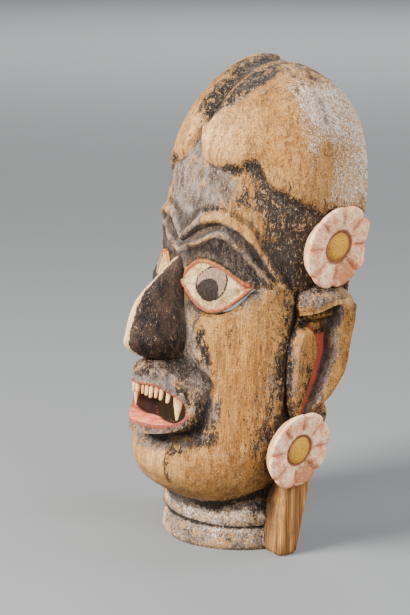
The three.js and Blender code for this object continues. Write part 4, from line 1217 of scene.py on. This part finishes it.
def bare_plank():
    """Bare ochre-brown plank with strong upright grain and dark knots, and painted shade in its
    hollows.
    """
    made, n, shader, where = material("bare_plank")
    streak, pores = grain(n, where, 420.0, 0.04)
    slow = n.noise(where, 60.0, 4.0, 0.6)
    colour = n.blend(streak, tone(108, 66, 30), tone(214, 152, 82))
    colour = n.over(colour, n.fit(slow, 0.5, 0.75), 0.5, tone(94, 68, 46))
    colour = n.over(colour, pores, 0.55, tone(74, 50, 32))
    # Painted shade in the hollows (dent).
    colour = n.over(colour, n.value("dent"), 0.6, tone(54, 42, 34))
    finish_with(n, shader, colour, 0.78, n.calc("MULTIPLY_ADD", pores, -0.8, streak), 0.6, 0.0009)
    return made


def gouged_wood():
    """Dull brown inside, left by the gouge and darkened by handling, with painted shade in its
    hollows.
    """
    made, n, shader, where = material("gouged_inside")
    streak, pores = grain(n, where, 300.0)
    slow = n.noise(where, 30.0, 4.0, 0.6)
    colour = n.blend(streak, tone(112, 80, 52), tone(160, 121, 80))
    colour = n.over(colour, slow, 0.5, tone(88, 64, 46))
    colour = n.over(colour, n.value("ridge"), 0.4, tone(186, 150, 108))
    # Painted shade in the hollows (dent).
    colour = n.over(colour, n.value("dent"), 0.5, tone(52, 40, 32))
    finish_with(n, shader, colour, 0.82, n.calc("MULTIPLY_ADD", pores, -0.6, streak), 0.5, 0.0008)
    return made


def mouth_paint():
    """Pink-red inside of the mouth, dark and bare further back, with painted shade under the
    palate and in the near corner.
    """
    made, n, shader, where = material("mouth_paint")
    mid = n.noise(where, 130.0, 5.0, 0.6)
    colour = n.blend(n.fit(mid, 0.35, 0.68), tone(190, 84, 62), tone(230, 142, 108))
    # Painted shade under the palate and in the corner, and dark bare wood further back.
    deep = coat(n, where, n.value("mouth_shade_and_dark_wood"), 120.0, 0.4, 0.2, (1, 1, 9))
    colour = n.over(colour, deep, 0.92, tone(40, 28, 21))
    chip = coat(n, where, 0.2, 300.0, 0.6, 0.06, (4, 8, 1))
    colour = n.over(colour, chip, 0.8, tone(214, 180, 140))
    finish_with(n, shader, colour, 0.66, mid, 0.5, 0.0008)
    return made


def tooth_paint():
    """Cream teeth, brownish toward the gum, with painted shade in their hollows."""
    made, n, shader, where = material("tooth_paint")
    mid = n.noise(where, 220.0, 4.0, 0.6)
    colour = n.blend(n.fit(mid, 0.35, 0.7), tone(240, 200, 142), tone(190, 138, 84))
    colour = n.over(colour, n.value("gum"), 0.7, tone(176, 112, 82))
    # Painted shade in the hollows and at the joins (dent).
    colour = n.over(colour, n.value("dent"), 0.7, tone(92, 62, 42))
    finish_with(n, shader, colour, 0.48, mid, 0.4, 0.0005)
    return made


# The mask put together.

# Turns of smoothing for the ridges nearby and for the larger shapes, and where an edge is sharp.
NEAR_TURNS, FAR_TURNS = 6, 40
SHARP_EDGE = math.radians(48)


def settle(piece):
    """Centres the mask over the foot as its solid is, fills the paint values of points that the
    cuts made from their neighbours, and measures how far each point stands out of (ridge) or
    sinks into (dent) its smoothed surroundings."""
    mesh = piece.data
    count = len(mesh.vertices)
    at = numbers(mesh.vertices, "co", 3).reshape(-1, 3).astype(float)
    middle = (at.min(0) + at.max(0)) / 2
    at -= (middle[0], middle[1], at[:, 2].min())
    mesh.vertices.foreach_set("co", at.astype(np.float32).ravel())
    start, end = numbers(mesh.edges, "vertices", 2, np.int32).reshape(-1, 2).T
    one, two = np.concatenate([start, end]), np.concatenate([end, start])
    share = np.maximum(np.bincount(one, minlength=count), 1)

    def around(values):
        return np.bincount(one, values[two], count) / share

    made = numbers(mesh.attributes["known"].data, "value") < 0.5
    weight = (~made).astype(float)
    near = np.maximum(np.bincount(one, weight[two], count), 1e-6)
    for store in mesh.attributes:
        if store.data_type != "FLOAT" or store.domain != "POINT":
            continue
        value = numbers(store.data, "value")
        filled = np.bincount(one, (value * weight)[two], count) / near
        value[made] = filled[made]
        store.data.foreach_set("value", value)

    mesh.update()
    normal = numbers(mesh.vertex_normals, "vector", 3).reshape(-1, 3).astype(float)
    smooth, out = at.copy(), {}
    for turn in range(1, FAR_TURNS + 1):
        smooth = np.stack([around(smooth[:, k]) for k in range(3)], 1)
        if turn in (NEAR_TURNS, FAR_TURNS):
            out[turn] = ((at - smooth) * normal).sum(1) * 1000
    stands = out[NEAR_TURNS] * 1.6 + np.clip(out[FAR_TURNS], -1.2, 0.8) * 0.3
    for key, value in (("ridge", np.clip(stands / 0.55, 0, 1)),
                       ("dent", np.clip(-stands / 0.8, 0, 1))):
        for _ in range(2):
            value = (value + around(value)) / 2
        keep(mesh, key, value)
    mesh.polygons.foreach_set("use_smooth", np.ones(len(mesh.polygons), bool))
    mesh.set_sharp_from_angle(angle=SHARP_EDGE)
    mesh.update()


def build_mask():
    """The whole mask as one closed solid: the head with nose, ears, rosettes and boards joined,
    then the back, hollow, mouth, slits and crack cut, and the teeth set."""
    painted, plank, inside = painted_wood(), bare_plank(), gouged_wood()
    flower, dark, red, ivory = rosette_paint(), nose_wood(), mouth_paint(), tooth_paint()
    mask = head(painted)
    combine(mask, nose(dark), "UNION")
    for side in (1, -1):
        combine(mask, board(side, plank), "UNION")
        combine(mask, ear(side, painted), "UNION")
        combine(mask, rosette(side, *UPPER_ROSETTE, flower), "UNION")
        combine(mask, rosette(side, *LOWER_ROSETTE, flower), "UNION")
    combine(mask, back_cut(inside), "DIFFERENCE")
    combine(mask, hollow(inside), "DIFFERENCE")
    combine(mask, mouth(red), "DIFFERENCE")
    for side in (1, -1):
        combine(mask, slit(side, inside), "DIFFERENCE")
    for aside, width, length in TEETH:
        for side in ((1, -1) if aside else (1,)):
            combine(mask, tooth(side * aside, width, length, ivory), "UNION")
    aside, width, length = FANG
    for side in (1, -1):
        fang = tooth(side * aside, width, length, ivory, 0.3, side * 1.6, 2.6)
        combine(mask, fang, "UNION")
    combine(mask, crack(painted), "DIFFERENCE")
    settle(mask)
    return mask


mask = build_mask()
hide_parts("mask")
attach(mask, "root")


def floor():
    """A wide plain pale floor: a disc whose rings spread outward."""
    turn = np.radians(np.arange(0, 360, 5.0))
    radius = np.array([0.05, 0.3, 1.0, 3.0, 9.0, 40.0])[:, None]
    points = np.stack([radius * np.cos(turn), radius * np.sin(turn), 0 * radius * turn], -1)
    verts = np.concatenate([[[0.0, 0.0, 0.0]], points.reshape(-1, 3)])
    n = len(turn)
    faces = [(0, 1 + i, 1 + (i + 1) % n) for i in range(n)]
    for r in range(len(radius) - 1):
        base = 1 + r * n
        faces += [(base + i, base + n + i, base + n + (i + 1) % n, base + (i + 1) % n)
                  for i in range(n)]
    mesh = bpy.data.meshes.new("floor")
    mesh.from_pydata([tuple(v) for v in verts], [], faces)
    made, _, shader, _ = material("floor_paper")
    shader.inputs["Base Color"].default_value = tone(110, 112, 113)
    shader.inputs["Roughness"].default_value = 0.9
    mesh.materials.append(made)
    piece = bpy.data.objects.new("floor", mesh)
    bpy.context.scene.collection.objects.link(piece)
    return piece


floor()
